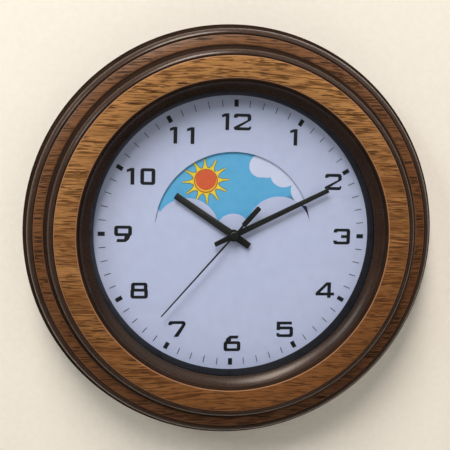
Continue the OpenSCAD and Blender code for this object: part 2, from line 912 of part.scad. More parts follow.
module bottom_bar() {
  stroke(-half_w, -half_h, half_w, -half_h + level_stroke);
}

module left_hook(side) {
  y = side * half_h;
  stroke(-half_w, min(y, y - side * half_h / 2), -half_w + upright_stroke, max(y, y - side * half_h / 2));
}

module numeral_one() {
  stroke(0, -half_h, upright_stroke, half_h);
  polygon([
    [0, half_h],
    [-upright_stroke, half_h - level_stroke / 2],
    [-upright_stroke, half_h - 1.4 * level_stroke],
    [0, half_h - level_stroke]
  ]);
}

module numeral_two() {
  rounded_numeral() {
    top_bar();
    bottom_bar();
    left_hook(1);
    stroke(half_w - upright_stroke, half_h / 4, half_w, half_h);
    stroke(half_w - upright_stroke / 2, -half_h, half_w, -half_h / 2);
    polygon([
      [half_w, half_h / 4],
      [half_w - upright_stroke, half_h / 4],
      [-half_w, level_stroke - half_h],
      [1.5 * upright_stroke - half_w, level_stroke - half_h],
    ]);
  }
}

module numeral_three() {
  rounded_numeral() {
    top_bar();
    bottom_bar();
    left_hook(1);
    left_hook(-1);
    stroke(half_w - upright_stroke, -half_h, half_w, half_h);
    stroke(upright_stroke - half_w / 2, -level_stroke / 2, half_w, level_stroke / 2);
  }
}

module numeral_four() {
  bar_half = 1.12 * half_w;
  stem_right = half_w - 0.7 * upright_stroke;
  stem_left = stem_right - upright_stroke;
  bar_y = -half_h / 2;
  stroke(stem_left, -half_h, stem_right, half_h);
  stroke(-bar_half, bar_y - level_stroke / 2, bar_half, bar_y + level_stroke / 2);
  polygon([
    [stem_left, half_h],
    [stem_left - upright_stroke / 3, half_h],
    [-bar_half, bar_y + level_stroke / 2],
    [-bar_half, bar_y - level_stroke / 2],
    [1.2 * upright_stroke - bar_half, bar_y + level_stroke / 2],
    [stem_left, half_h - level_stroke]
  ]);
}

module numeral_five() {
  stroke(-half_w, half_h - level_stroke, half_w - level_stroke / 2, half_h);
  stroke(-half_w, -level_stroke / 4, -half_w + upright_stroke, half_h);
  rounded_numeral() {
    bottom_bar();
    stroke(-half_w, -half_h, level_stroke - half_w, 1.4 * level_stroke - half_h);
    intersection() {
      loop(numeral_width, half_h + level_stroke, (level_stroke - half_h) / 2);
      stroke(-half_w + upright_stroke, -half_h, half_w, half_h);
    }
  }
}

module numeral_six() {
  loop_height = 0.64 * numeral_height;
  loop_y = loop_height / 2 - half_h;
  loop_top = loop_height - half_h;
  difference() {
    union() {
      translate([0, loop_y])
        rounded_box(numeral_width, loop_height, numeral_corner);
      polygon([
        [-half_w, loop_y],
        [-0.7 * half_w, half_h - level_stroke],
        [-0.3 * half_w, half_h],
        [0.75 * half_w, half_h],
        [0.65 * half_w, half_h - level_stroke],
        [-0.1 * half_w, half_h - level_stroke],
        [-0.3 * half_w, loop_y]
      ]);
    }
    translate([0, loop_y])
      square([numeral_width - 2 * upright_stroke, loop_height - 2 * level_stroke], center = true);
  }
}

module numeral_seven() {
  rounded_numeral() {
    top_bar();
    left_hook(1);
    stroke(half_w - upright_stroke, half_h / 2, half_w, half_h);
  }
  polygon([
    [half_w, half_h / 2],
    [half_w - upright_stroke, half_h / 2],
    [-0.9 * upright_stroke, -half_h],
    [0.4 * upright_stroke, -half_h]
  ]);
}

module numeral_eight() {
  lower = numeral_height * 0.53 + level_stroke / 2;
  upper = numeral_height - lower + level_stroke;
  loop(numeral_width, lower, lower / 2 - half_h);
  loop(numeral_width * 0.94, upper, half_h - upper / 2);
}

module numeral_zero() {
  loop(numeral_width * 0.84, numeral_height, 0);
}

module digit(n) {
  if (n == 0) numeral_zero();
  if (n == 1) numeral_one();
  if (n == 2) numeral_two();
  if (n == 3) numeral_three();
  if (n == 4) numeral_four();
  if (n == 5) numeral_five();
  if (n == 6) numeral_six();
  if (n == 7) numeral_seven();
  if (n == 8) numeral_eight();
  if (n == 9) rotate(180) numeral_six();
}

module numerals() {
  color(black)
    face()
      print_on_dial()
        for (hour = [1 : 12])
          translate(polar(numeral_radius, 90 - hour * 30) + numeral_shifts[hour - 1])
            if (hour < 10) {
              digit(hour);
            } else {
              translate([-numeral_pitch / 2, 0])
                digit(1);
              translate([numeral_pitch / 2, 0])
                digit(hour - 10);
            }
}

// The place of the keyhole, with its slot towards 12 o'clock
module keyhole_outline(grow = 0) {
  translate([0, keyhole_y]) {
    circle(keyhole_radius + grow);
    translate([-keyhole_slot / 2 - grow, 0])
      square([keyhole_slot + 2 * grow, keyhole_travel - keyhole_slot / 2]);
    translate([0, keyhole_travel - keyhole_slot / 2])
      circle(keyhole_slot / 2 + grow);
  }
}

module at_hanger_screws() {
  for (side = [-1, 1])
    translate([side * hanger_screw_pitch / 2, keyhole_y, 0])
      children();
}

module back_plate() {
  head_room = screw_head_radius + 2 * bite;
  color(grey_plastic)
    face()
      difference() {
        union() {
          rotate_extrude($fn = 180)
            polygon([
              [well_radius, plate_back],
              [plate_radius, plate_back],
              [plate_radius, plate_front],
              [press_ring_in + press_ring_wall, plate_front],
              [press_ring_in + press_ring_wall, dial_back],
              [press_ring_in, dial_back],
              [press_ring_in, plate_front],
              [well_radius + well_wall, plate_front],
              [well_radius + well_wall, carrier_front],
              [0, carrier_front],
              [0, carrier_back],
              [well_radius, carrier_back]
            ]);
          at_hanger_screws()
            rod(screw_head_radius, plate_front - bite, hanger_screw_end + bite);
        }
        rod(bush_radius + 2 * running_gap, carrier_back - bite, carrier_front + bite);
        at_posts()
          rod(screw_radius + 2 * running_gap, plate_back - bite, plate_front + bite);
        at_hanger_screws()
          rod(screw_radius, plate_back - bite, hanger_screw_end + 2 * bite);
        layer(plate_back - bite, plate_front + bite)
          keyhole_outline(head_room);
      }
}

module screw(head_back, end) {
  difference() {
    rod(screw_head_radius, head_back, head_back + screw_head_height);
    translate([0, 0, head_back])
      for (a = [0, 90])
        rotate([0, 0, a])
          cube([screw_head_radius, screw_radius / 2, screw_head_height], center = true);
  }
  rod(screw_radius, head_back + screw_head_height, end);
}

module back_screws() {
  color(steel)
    face()
      at_posts()
        screw(plate_back - screw_head_height, plate_back + screw_length);
}

module hanger_plate() {
  color(steel)
    face()
      difference() {
        layer(hanger_back, plate_back)
          difference() {
            translate([0, keyhole_y])
              rounded_box(hanger_width, hanger_height, movement_corner);
            keyhole_outline();
          }
        at_hanger_screws()
          rod(screw_radius, hanger_back - bite, plate_back + bite);
      }
}

module hanger_screws() {
  color(steel)
    face()
      at_hanger_screws()
        screw(hanger_back - screw_head_height, hanger_screw_end);
}

// A plate from one height to another, with round corners at its far end
module end_plate(half_width, from, to, r) {
  turn = to > from ? r : -r;
  stroke(-half_width, min(from, to - turn), half_width, max(from, to - turn));
  stroke(r - half_width, min(from, to), half_width - r, max(from, to));
  for (side = [-1, 1])
    translate([side * (half_width - r), to - turn])
      circle(r);
}

// Outline of the movement's case
module case_outline() {
  end_plate(train_half, bay_top, case_head, movement_corner);
  end_plate(bay_half_width, train_foot, case_foot, movement_corner);
}

module train_room() {
  end_plate(inner_half, train_foot, case_head - case_wall, movement_corner - case_wall);
}

module battery_room() {
  end_plate(bay_half_width - case_wall, bay_top, case_foot + case_wall, movement_corner - case_wall);
}

// The rooms inside the case: the train above, the battery below
module case_rooms() {
  train_room();
  battery_room();
}

module movement_front_case() {
  color(white_plastic)
    face()
      difference() {
        layer(middle_back, movement_front)
          case_outline();
        layer(middle_back - bite, cavity_front)
          case_rooms();
        rod(bush_radius, cavity_front - bite, movement_front + bite);
        pivot_hole(third_at, cavity_front - bite, pivot_front + running_gap);
        pivot_hole(minute_wheel_at, cavity_front - bite, pivot_front + running_gap);
      }
}

module movement_back_cover() {
  post_x = inner_half - middle_post_inset;
  post_heights = [train_foot + middle_post_inset, middle_top - middle_post_inset];
  color(white_plastic)
    face()
      difference() {
        union() {
          difference() {
            layer(movement_back, middle_back)
              case_outline();
            layer(train_floor, middle_back + bite)
              case_rooms();
            layer(movement_back - bite, train_floor + bite)
              battery_room();
          }
          for (p = [third_at, intermediate_at, rotor_at, [0, 0]])
            at(p)
              rod(2 * arbor_radius, train_floor - bite, boss_top);
          for (p = stator_posts)
            at(p)
              rod(2 * arbor_radius, train_floor - bite, stator_back);
          for (x = [-post_x, post_x])
            for (y = post_heights)
              at([x, y])
                rod(2.5 * arbor_radius, train_floor - bite, middle_back);
          at(setting_at)
            rod(knob_well + case_wall, train_floor - bite, knob_floor + case_wall);
        }
        for (p = [third_at, intermediate_at, rotor_at])
          pivot_hole(p, train_floor + running_gap, boss_top + bite);
        rod(second_arbor_radius + running_gap, train_floor + running_gap, boss_top + bite);
        at(setting_at) {
          rod(knob_well, movement_back - bite, knob_floor);
          rod(stem_radius + running_gap, knob_floor - bite, knob_floor + case_wall + bite);
        }
      }
}

module middle_plate() {
  third_hole = third_pinion_teeth * third_module / 2 + 2 * third_module;
  color(grey_plastic)
    face()
      difference() {
        union() {
          layer(middle_back, middle_front)
            difference() {
              stroke(middle_gap - inner_half, train_foot + middle_gap, inner_half - middle_gap, middle_top);
              circle(cannon_radius);
            }
          for (x = [0.15, 0.85])
            at(board_from + [x * board_size, board_size / 2])
              rod(2 * arbor_radius, middle_front - bite, board_back);
        }
        at(third_at)
          rod(third_hole, middle_back - bite, middle_front + bite);
        for (p = [intermediate_at, rotor_at, minute_wheel_at])
          pivot_hole(p, middle_back - bite, middle_front + bite);
        at(setting_at)
          rod(stem_radius + running_gap, middle_back - bite, middle_front + bite);
      }
}

module centre_bush() {
  color(brass)
    face()
      tube(bush_radius, bush_bore, cavity_front, bush_front);
}

module bush_nut() {
  color(brass)
    face()
      difference() {
        layer(carrier_front, nut_front)
          circle(d = nut_width, $fn = 6);
        rod(bush_radius, carrier_front - bite, nut_front + bite);
      }
}

module rubber_washer() {
  color(black)
    face()
      tube(2.5 * bush_radius, bush_radius, movement_front, carrier_back);
}

module circuit_board() {
  color(board_green)
    face()
      layer(board_back, board_front)
        translate(board_from)
          square(board_size);
}

module timing_chip() {
  color(black)
    face()
      translate([board_from[0] + chip_inset, board_from[1] + chip_inset, board_front])
        cube([chip_size, chip_size, chip_height]);
}

module quartz_crystal() {
  can_x = board_from[0] + board_size - chip_inset;
  color(steel)
    face()
      translate([can_x, board_from[1] + chip_inset, board_front + crystal_radius])
        rotate([-90, 0, 0])
          cylinder(r = crystal_radius, h = crystal_length);
}

// Turned about the coil's own level axis
module along_coil(from, to, r) {
  translate([from - coil_shift, coil_y, coil_z])
    rotate([0, 90, 0])
      cylinder(r = r, h = to - from);
}

module coil_bobbin() {
  reach = coil_half + bobbin_flange;
  color(white_plastic)
    face()
      difference() {
        union() {
          along_coil(-reach, reach, bobbin_tube);
          along_coil(-reach, -coil_half, bobbin_radius);
          along_coil(coil_half, reach, bobbin_radius);
        }
        translate([-coil_shift, coil_y, coil_z])
          cube([2 * reach + 2 * bite, core_width, stator_thickness], center = true);
      }
}

module coil_winding() {
  color(copper)
    face()
      difference() {
        along_coil(-coil_half, coil_half, coil_radius);
        along_coil(-coil_half - bite, coil_half + bite, bobbin_tube);
      }
}

module coil_core() {
  color(steel)
    face()
      translate([-coil_shift, coil_y, coil_z])
        cube([2 * core_half, core_width, stator_thickness], center = true);
}

module stator() {
  arm_top = coil_y + core_width / 2;
  color(steel)
    face()
      difference() {
        layer(stator_back, stator_back + stator_thickness)
          union() {
            translate(rotor_at)
              circle(ring_out);
            stroke(core_right - 2 * stator_arm, rotor_at[1], core_right, arm_top);
            stroke(core_left, arm_y, rotor_at[0], arm_y + stator_arm);
            stroke(core_left, arm_y, core_left + stator_arm, arm_top);
          }
        at(rotor_at)
          rod(magnet_radius + magnet_gap, stator_back - bite, stator_back + stator_thickness + bite);
      }
}

module contact_plate(side) {
  middle = side * (battery_half + contact_gap + contact_thickness / 2);
  translate([middle, battery_y, battery_z])
    cube([contact_thickness, contact_height, 2 * battery_radius], center = true);
}

module positive_contact() {
  color(steel)
    face()
      contact_plate(1);
}

module negative_contact() {
  color(steel)
    face()
      contact_plate(-1);
}

module battery() {
  color([0.2, 0.45, 0.3])
    face()
      translate([-battery_half, battery_y, battery_z])
        rotate([0, 90, 0]) {
          cylinder(r = battery_radius, h = battery_length - button_height);
          cylinder(r = button_radius, h = battery_length);
        }
}

module rotor_magnet() {
  from = stator_back + (stator_thickness - magnet_length) / 2;
  color(grey_plastic)
    face()
      at(rotor_at)
        tube(magnet_radius, arbor_radius, from, from + magnet_length);
}

module rotor_pinion() {
  color(white_plastic)
    face()
      at(rotor_at) {
        pinion_teeth(rotor_teeth, rotor_module, rotor_angle + 180, false, level_a);
        pivoted_arbor(pivot_back, boss_top + running_gap, middle_back - 2 * pinion_over,
          middle_front - running_gap);
      }
}

module intermediate_wheel() {
  color(white_plastic)
    face()
      at(intermediate_at) {
        wheel_teeth(intermediate_teeth, rotor_module, rotor_angle, true, level_a);
        pinion_teeth(intermediate_pinion_teeth, intermediate_module, intermediate_angle + 180, false,
          level_b);
        pivoted_arbor(pivot_back, boss_top + running_gap, middle_back - 2 * pinion_over,
          middle_front - running_gap);
      }
}

module second_wheel() {
  color(white_plastic)
    face() {
      wheel_teeth(second_teeth, intermediate_module, intermediate_angle, true, level_b);
      pinion_teeth(second_pinion_teeth, second_module, third_angle, false, level_c);
      rod(second_arbor_radius, pivot_back, second_end);
    }
}

module third_wheel() {
  color(white_plastic)
    face()
      at(third_at) {
        wheel_teeth(third_teeth, second_module, third_angle + 180, true, level_c);
        pinion_teeth(third_pinion_teeth, third_module, third_angle + 180, false, level_d);
        pivoted_arbor(pivot_back, boss_top + running_gap, arbor_front, pivot_front);
      }
}

module centre_wheel() {
  color(brass)
    face()
      difference() {
        wheel_teeth(centre_teeth, third_module, third_angle, true, level_d);
        rod(hour_bore, level_d - bite, level_d + wheel_thickness + bite);
      }
}

module clutch_spring() {
  from = level_d + wheel_thickness;
  color(steel)
    face()
      tube(2.5 * cannon_radius, hour_bore, from, from + spring_thickness);
}

module cannon_pinion() {
  color(brass)
    face()
      difference() {
        union() {
          pinion_teeth(cannon_teeth, cannon_module, minute_wheel_angle, false, level_e);
          rod(cannon_radius, middle_front + pinion_over, cannon_end);
        }
        rod(cannon_bore, middle_front - bite, cannon_end + bite);
      }
}

module minute_wheel() {
  toward = minute_wheel_angle + 180;
  pinion_end = level_f + wheel_thickness + pinion_over;
  color(white_plastic)
    face()
      at(minute_wheel_at) {
        wheel_teeth(minute_teeth, cannon_module, toward, true, level_e);
        layer(level_e + wheel_thickness, pinion_end)
          gear_outline(minute_pinion_teeth, hour_module, toward, false);
        layer(pinion_end, level_g + wheel_thickness + pinion_over)
          gear_outline(day_pinion_teeth, day_module, toward, false);
        pivoted_arbor(middle_back + running_gap, middle_front + pinion_over, arbor_front, pivot_front);
      }
}

module hour_wheel() {
  color(white_plastic)
    face()
      difference() {
        union() {
          wheel_teeth(hour_teeth, hour_module, minute_wheel_angle, true, level_f);
          rod(hour_tube_radius, level_f, hour_tube_end);
        }
        rod(hour_bore, level_f - bite, hour_tube_end + bite);
      }
}

module day_wheel() {
  color(white_plastic)
    face()
      difference() {
        union() {
          wheel_teeth(day_teeth, day_module, minute_wheel_angle, true, level_g);
          rod(day_tube_radius, level_g, disc_front);
        }
        rod(day_bore, level_g - bite, disc_front + bite);
      }
}

module setting_pinion() {
  color(white_plastic)
    face()
      at(setting_at) {
        pinion_teeth(cannon_teeth, cannon_module, minute_wheel_angle + 180, false, level_e);
        rod(stem_radius, knob_front, level_e + wheel_thickness + 2 * pinion_over);
      }
}

module setting_knob() {
  color(black)
    face()
      at(setting_at)
        difference() {
          rod(knob_radius, knob_back, knob_front);
          for (i = [0 : knob_grips - 1])
            at(polar(knob_radius, i * 360 / knob_grips))
              rod(grip_radius, knob_back - bite, knob_front + bite);
        }
}

// A tapered blade along +y with a square tip, and a tail behind the hub
module blade(length, tip_width, hub_width, tail, tail_width) {
  polygon([
    [-hub_width / 2, 0],
    [-tip_width / 2, length],
    [tip_width / 2, length],
    [hub_width / 2, 0],
    [tail_width / 2, -tail],
    [-tail_width / 2, -tail]
  ]);
}

// A stamped hand with a round hub behind its blade
module stamped_hand(angle, back, bore) {
  difference() {
    union() {
      layer(back, back + hand_thickness) {
        clockwise(angle)
          children();
        circle(hub_radius);
      }
      rod(bore + 0.5 * tube_wall, back + hand_thickness - hub_height, back + hand_thickness);
    }
    rod(bore, back - hub_height, back + hand_thickness + bite);
  }
}

module hour_hand() {
  color(hand_black)
    face()
      stamped_hand(hour_angle, hour_hand_back, hour_tube_radius)
        blade(hour_length, hour_tip_width, hour_hub_width, hour_tail, hour_tip_width);
}

module minute_hand() {
  color(hand_black)
    face()
      stamped_hand(minute_angle, minute_hand_back, cannon_radius)
        blade(minute_length, minute_tip_width, minute_hub_width, minute_tail, minute_tip_width);
}

module second_hand() {
  cap_radius = 0.7 * hub_radius;
  color(hand_black)
    face()
      difference() {
        union() {
          layer(second_hand_back, second_hand_back + second_thickness)
            clockwise(second_angle) {
              stroke(-second_width / 2, 0, second_width / 2, second_length);
              stroke(-second_width, -weight_start - bite, second_width, 0);
              stroke(-weight_width / 2, -weight_end, weight_width / 2, -weight_start);
            }
          rod(cap_radius, second_hand_back, second_end + bite);
        }
        rod(second_arbor_radius, second_hand_back - bite, second_end);
      }
}

module day_night_disc() {
  color(cloud_white)
    face()
      tube(disc_radius, day_tube_radius, disc_back, disc_front);
}

module disc_collar() {
  color(white_plastic)
    face()
      tube(collar_radius, day_tube_radius, collar_back, disc_back);
}

// A printed layer on the disc, clear of its tube, with the sun's middle along +y
module print_on_disc(count) {
  from = disc_front + (count - 1) * print_thickness;
  difference() {
    layer(from, from + print_thickness)
      clockwise(sun_angle)
        intersection() {
          circle(disc_radius, $fn = 180);
          union()
            children();
        }
    rod(day_tube_radius, disc_front - bite, dial_back);
  }
}

module half_disc(side) {
  translate([-disc_radius, side > 0 ? 0 : -disc_radius])
    square([2 * disc_radius, disc_radius]);
}

module disc_day_sky() {
  color(sky_blue)
    face()
      print_on_disc(1)
        half_disc(1);
}

module disc_night_sky() {
  color(navy)
    face()
      print_on_disc(1)
        half_disc(-1);
}

module disc_clouds() {
  color(cloud_white)
    face()
      print_on_disc(2)
        for (lobe = concat(evening_lobes, morning_lobes))
          clockwise(lobe[1])
            translate([0, lobe[0] * disc_radius])
              circle(lobe[2] * disc_radius);
}

module disc_sun_rays() {
  color(sun_yellow)
    face()
      print_on_disc(2)
        translate([0, sun_distance])
          polygon([
            for (i = [0 : ray_count - 1])
              let (a = ray_turn + i * 360 / ray_count)
                for (p = ray_outline)
                  polar(p[0], 90 - a) + polar(p[1], -a)
          ]);
}

module disc_sun_face() {
  color(sun_orange)
    face()
      print_on_disc(3)
        translate([0, sun_distance])
          circle(sun_face_radius);
}

module disc_moon() {
  color(sun_yellow)
    face()
      print_on_disc(2)
        translate([0, -sun_distance])
          difference() {
            circle(moon_radius);
            translate([0.5 * moon_radius, 0.2 * moon_radius])
              circle(0.8 * moon_radius);
          }
}

// A star with five points
module star(r) {
  polygon([for (i = [0 : 9]) polar(i % 2 == 0 ? r : 0.45 * r, 90 + i * 36)]);
}

module disc_stars() {
  color(sun_yellow)
    face()
      print_on_disc(2)
        for (place = star_places)
          clockwise(180 + place[1])
            translate([0, place[0] * disc_radius])
              star(place[2] * disc_radius);
}

rim();
outer_wood_band();
inner_wood_band();
lens();
spacer_ring();
dial();
hour_marks();
minute_marks();
numerals();
back_plate();
back_screws();
hanger_plate();
hanger_screws();
movement_front_case();
movement_back_cover();
middle_plate();
centre_bush();
bush_nut();
rubber_washer();
circuit_board();
timing_chip();
quartz_crystal();
coil_bobbin();
coil_winding();
coil_core();
stator();
positive_contact();
negative_contact();
battery();
rotor_magnet();
rotor_pinion();
intermediate_wheel();
second_wheel();
third_wheel();
centre_wheel();
clutch_spring();
cannon_pinion();
minute_wheel();
hour_wheel();
day_wheel();
setting_pinion();
setting_knob();
hour_hand();
minute_hand();
second_hand();
day_night_disc();
disc_collar();
disc_day_sky();
disc_night_sky();
disc_clouds();
disc_sun_rays();
disc_sun_face();
disc_moon();
disc_stars();
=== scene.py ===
import math

import bpy
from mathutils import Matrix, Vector


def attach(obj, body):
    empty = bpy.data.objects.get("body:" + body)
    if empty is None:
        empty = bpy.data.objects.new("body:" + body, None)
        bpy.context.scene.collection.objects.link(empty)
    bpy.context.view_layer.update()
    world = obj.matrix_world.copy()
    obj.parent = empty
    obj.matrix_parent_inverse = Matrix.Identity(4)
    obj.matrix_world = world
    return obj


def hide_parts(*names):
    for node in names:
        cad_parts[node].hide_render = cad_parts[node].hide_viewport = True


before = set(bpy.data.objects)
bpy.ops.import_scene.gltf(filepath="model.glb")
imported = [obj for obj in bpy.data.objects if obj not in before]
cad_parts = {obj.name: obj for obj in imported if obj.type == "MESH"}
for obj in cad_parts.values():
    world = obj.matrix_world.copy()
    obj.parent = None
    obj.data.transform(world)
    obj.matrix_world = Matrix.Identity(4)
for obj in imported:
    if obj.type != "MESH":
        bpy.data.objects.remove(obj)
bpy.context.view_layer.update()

# Rim: one dark brown ring, injection moulded in plastic as a hollow shell. Two mouldings step down
# from the front, each with a matt cove, beside the beds of the wood bands. A hollowed lip falls to
# the lens, and six posts inside take the screws of the back plate. The coves, the lip's crest and
# the lip are painted darker than the rest of the rim, as shade.

MM = 0.001
WELD = 0.001 * MM
SMOOTH_BELOW = math.radians(32)


def arc(centre, radius, start, end, count):
    """Points of a section's arc, by angle in degrees from outwards towards the front."""
    angles = [math.radians(start + (end - start) * i / count) for i in range(count + 1)]
    return [(centre[0] + radius * math.cos(a), centre[1] + radius * math.sin(a)) for a in angles]


def softened(corners):
    """A section's points, with each corner that has a third number rounded by that much."""
    points = []
    for i, corner in enumerate(corners):
        here = Vector(corner[:2])
        if len(corner) == 2:
            points.append(here)
            continue
        before = Vector(corners[i - 1][:2]) - here
        after = Vector(corners[(i + 1) % len(corners)][:2]) - here
        start = here + before.normalized() * corner[2]
        end = here + after.normalized() * corner[2]
        for share in (0, 0.25, 0.5, 0.75, 1):
            rest = 1 - share
            points.append(start * rest ** 2 + here * 2 * share * rest + end * share ** 2)
    return points


def only(piece):
    """Selects one piece and nothing else."""
    bpy.ops.object.select_all(action="DESELECT")
    piece.select_set(True)
    bpy.context.view_layer.objects.active = piece


def settle(piece, name):
    """Names a finished piece, puts its place into its mesh and smooths its round faces."""
    only(piece)
    piece.name = name
    bpy.ops.object.transform_apply(location=True, rotation=True, scale=True)
    bpy.ops.object.shade_smooth_by_angle(angle=SMOOTH_BELOW)
    return piece


def turned(name, corners, closed=True, steps=240):
    """A section of radius and height in millimetres, turned about the hands' axis."""
    points = [Vector((r * MM, -h * MM, 0)) for r, h in softened(corners)]
    bpy.ops.object.select_all(action="DESELECT")
    bpy.ops.mesh.primitive_plane_add(size=MM, location=points[0])
    ring = bpy.context.object
    bpy.ops.object.mode_set(mode="EDIT")
    bpy.ops.mesh.merge(type="CENTER")
    for here, there in zip(points, points[1:] + (points[:1] if closed else [])):
        bpy.ops.mesh.extrude_vertices_move(TRANSFORM_OT_translate={"value": there - here})
    bpy.ops.mesh.select_all(action="SELECT")
    bpy.ops.mesh.remove_doubles(threshold=WELD)
    bpy.ops.mesh.spin(steps=steps, angle=2 * math.pi, center=(0, 0, 0), axis=(0, 1, 0))
    bpy.ops.mesh.select_all(action="SELECT")
    bpy.ops.mesh.remove_doubles(threshold=WELD)
    bpy.ops.mesh.normals_make_consistent(inside=False)
    bpy.ops.object.mode_set(mode="OBJECT")
    return settle(ring, name)


class Wire:
    """A socket in a finish: sums on it add Math nodes, and node() adds any other."""

    def __init__(self, socket):
        self.socket = socket
        self.tree = socket.id_data

    def feed(self, made, sockets):
        for name, value in sockets.items():
            if isinstance(value, Wire):
                self.tree.links.new(value.socket, made.inputs[name])
            else:
                made.inputs[name].default_value = value

    def node(self, kind, settings, sockets, output=0):
        made = self.tree.nodes.new(kind)
        for name, value in settings.items():
            setattr(made, name, value)
        self.feed(made, sockets)
        return Wire(made.outputs[output])

    def maths(self, operation, first, second=0.0):
        return self.node("ShaderNodeMath", {"operation": operation}, {0: first, 1: second})

    def __add__(self, other):
        return self.maths("ADD", self, other)

    def __radd__(self, other):
        return self.maths("ADD", other, self)

    def __sub__(self, other):
        return self.maths("SUBTRACT", self, other)

    def __rsub__(self, other):
        return self.maths("SUBTRACT", other, self)

    def __mul__(self, other):
        return self.maths("MULTIPLY", self, other)

    def __rmul__(self, other):
        return self.maths("MULTIPLY", other, self)

    def __abs__(self):
        return self.maths("ABSOLUTE", self)

    def noise(self, per_metre, detail):
        """Noise with that many features per metre along x, y and z."""
        place = self.node("ShaderNodeMapping", {}, {"Vector": self, "Scale": per_metre})
        return self.node("ShaderNodeTexNoise", {}, {
            "Vector": place, "Scale": 1.0, "Detail": detail,
        })

    def within(self, low, high):
        """0 below low, 1 above high, and smooth between."""
        return self.node(
            "ShaderNodeMapRange",
            {"interpolation_type": "SMOOTHSTEP"},
            {"Value": self, "From Min": low, "From Max": high},
        )

    def tint(self, first, second):
        """A colour between two, by this share."""
        return self.node("ShaderNodeMix", {"data_type": "RGBA"}, {0: self, 6: first, 7: second}, 2)

    def relief(self, depth):
        """A normal raised by this height, in metres."""
        return self.node("ShaderNodeBump", {}, {"Height": self, "Distance": depth})


def colour(red, green, blue):
    """A screen colour of 0 to 255 as the linear colour that a socket takes."""
    shares = [c / 255 for c in (red, green, blue)]
    return [s / 12.92 if s <= 0.04045 else ((s + 0.055) / 1.055) ** 2.4 for s in shares] + [1.0]


def finish(name):
    """A new finish: its material, its shader and the place on the piece."""
    material = bpy.data.materials.new(name)
    material.use_nodes = True
    nodes = material.node_tree.nodes
    place = Wire(nodes.new("ShaderNodeTexCoord").outputs["Object"])
    return material, nodes["Principled BSDF"], place


WARM_SHEEN = (1, 0.86, 0.76, 1)


def moulded(name, dark, light, roughness, stipple, sheen=0.5):
    """Moulded plastic: a slow drift of tone, and a fine stippled skin."""
    material, shader, place = finish(name)
    drift = place.noise((45, 45, 45), 3)
    skin = place.noise((1300, 1300, 1300), 2)
    place.feed(shader, {
        "Base Color": (drift * 0.6 + skin * 0.4).within(0.3, 0.7).tint(dark, light),
        "Roughness": skin * 0.16 + (roughness - 0.08),
        "Normal": skin.relief(stipple * MM),
        "Specular IOR Level": sheen,
        "Specular Tint": WARM_SHEEN,
    })
    return material


def fit(piece, material, body, slot, *nodes):
    """Gives a new piece its finish, its body and the solids that it stands for. The slot is not
    used.
    """
    piece.data.materials.clear()
    piece.data.materials.append(material)
    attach(piece, body)
    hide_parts(*nodes)


brown_plastic = moulded("brown_plastic", colour(49, 34, 26), colour(61, 44, 35),
                        roughness=0.25, stipple=0.02, sheen=0.3)
# The lip's finish is the rim's brown plastic painted darker, as shade where the lip faces away from
# the light.
lip_plastic_painted_shade = moulded("lip_plastic_painted_shade", colour(41, 27, 20), colour(53, 37, 29),
                      roughness=0.29, stipple=0.09, sheen=0.34)
# The coves' finish is the rim's brown plastic, matt and painted darker as shade in the hollows.
cove_plastic_painted_shade = moulded("cove_plastic_painted_shade", colour(40, 28, 21), colour(50, 36, 28),
                       roughness=0.6, stipple=0.02, sheen=0.0)


def moulding(edge, top):
    """A moulding's section: the gap beside a wood band, crest, ledge, and cove down to its foot."""
    return [
        (edge - 0.6, top - 1.7), (edge + 0.2, top - 1.7, 0.1),
        *arc((edge + 0.9, top - 1.4), 1.5, 118, 65, 8),
        *arc((edge - 1, top - 5.48), 6, 62, 20, 12),
        (edge + 5, top - 7.1, 0.4), (edge + 5.9, top - 7.3, 0.3),
        *arc((edge + 8, top - 7.9), 2, 178, 268, 8),
    ]


inner_moulding, outer_moulding = (128.3, 44.9), (144, 33.8)
rim = turned("rim_moulding", [
    (148, 0, 0.5), (152.5, 23.6, 0.3),
    *reversed(moulding(*outer_moulding)),
    (143.1, 33.4), (137, 34.4), (136.9, 33.8), (136.4, 33.8),
    *reversed(moulding(*inner_moulding)),
    (127.5, 44.4), (112.9, 44.4), (112.8, 43.9), (112.3, 43.9),
    (112.2, 44.65, 0.15), (111.5, 44.65, 0.3),
    *arc((99.33, 48.34), 12.66, -19.5, -66.5, 14),
    (104.3, 36.9, 0.3), (104.3, 36.4), (107.8, 36.4),
    (107.8, 22.3, 0.3), (110, 22.3, 0.3), (110, 36.9),
    (112.8, 42.1), (128.3, 42.1), (130.1, 40.7), (130.9, 35.3),
    (136.3, 32.2), (144, 31), (145.8, 29.6), (146.6, 24.2),
    (149.6, 21.5), (145.6, 0, 0.4),
])

post_ring, post_radius, post_back, post_front = 121.3, 4.0, 4.5, 42.3
screw_hole, hole_depth = 1.5, 8.5
end_on = (math.radians(-90), 0, 0)
bpy.ops.object.select_all(action="DESELECT")
bpy.ops.mesh.primitive_cylinder_add(
    vertices=40, radius=post_radius * MM, depth=(post_front - post_back) * MM,
    location=(0, -(post_back + post_front) / 2 * MM, 0), rotation=end_on,
)
post = bpy.context.object
bpy.ops.object.mode_set(mode="EDIT")
bpy.ops.mesh.select_mode(type="FACE")
bpy.ops.mesh.select_all(action="DESELECT")
bpy.ops.object.mode_set(mode="OBJECT")
for face in post.data.polygons:
    face.select = face.normal.z > 0.9
bpy.ops.object.mode_set(mode="EDIT")
bpy.ops.mesh.inset(thickness=(post_radius - screw_hole) * MM)
bpy.ops.mesh.extrude_region_move(TRANSFORM_OT_translate={"value": (0, -hole_depth * MM, 0)})
bpy.ops.mesh.select_mode(type="VERT")
bpy.ops.object.mode_set(mode="OBJECT")
settle(post, "rim_post")


def gathered(piece, places):
    """Copies a piece to places of x and z in millimetres, and joins the copies into one object."""
    copies = []
    for x, z in places:
        copy = piece.copy()
        copy.data = piece.data.copy()
        bpy.context.scene.collection.objects.link(copy)
        copy.location = (x * MM, 0, z * MM)
        copies.append(copy)
    bpy.data.objects.remove(piece)
    only(copies[0])
    for copy in copies:
        copy.select_set(True)
    bpy.ops.object.join()
    return copies[0]


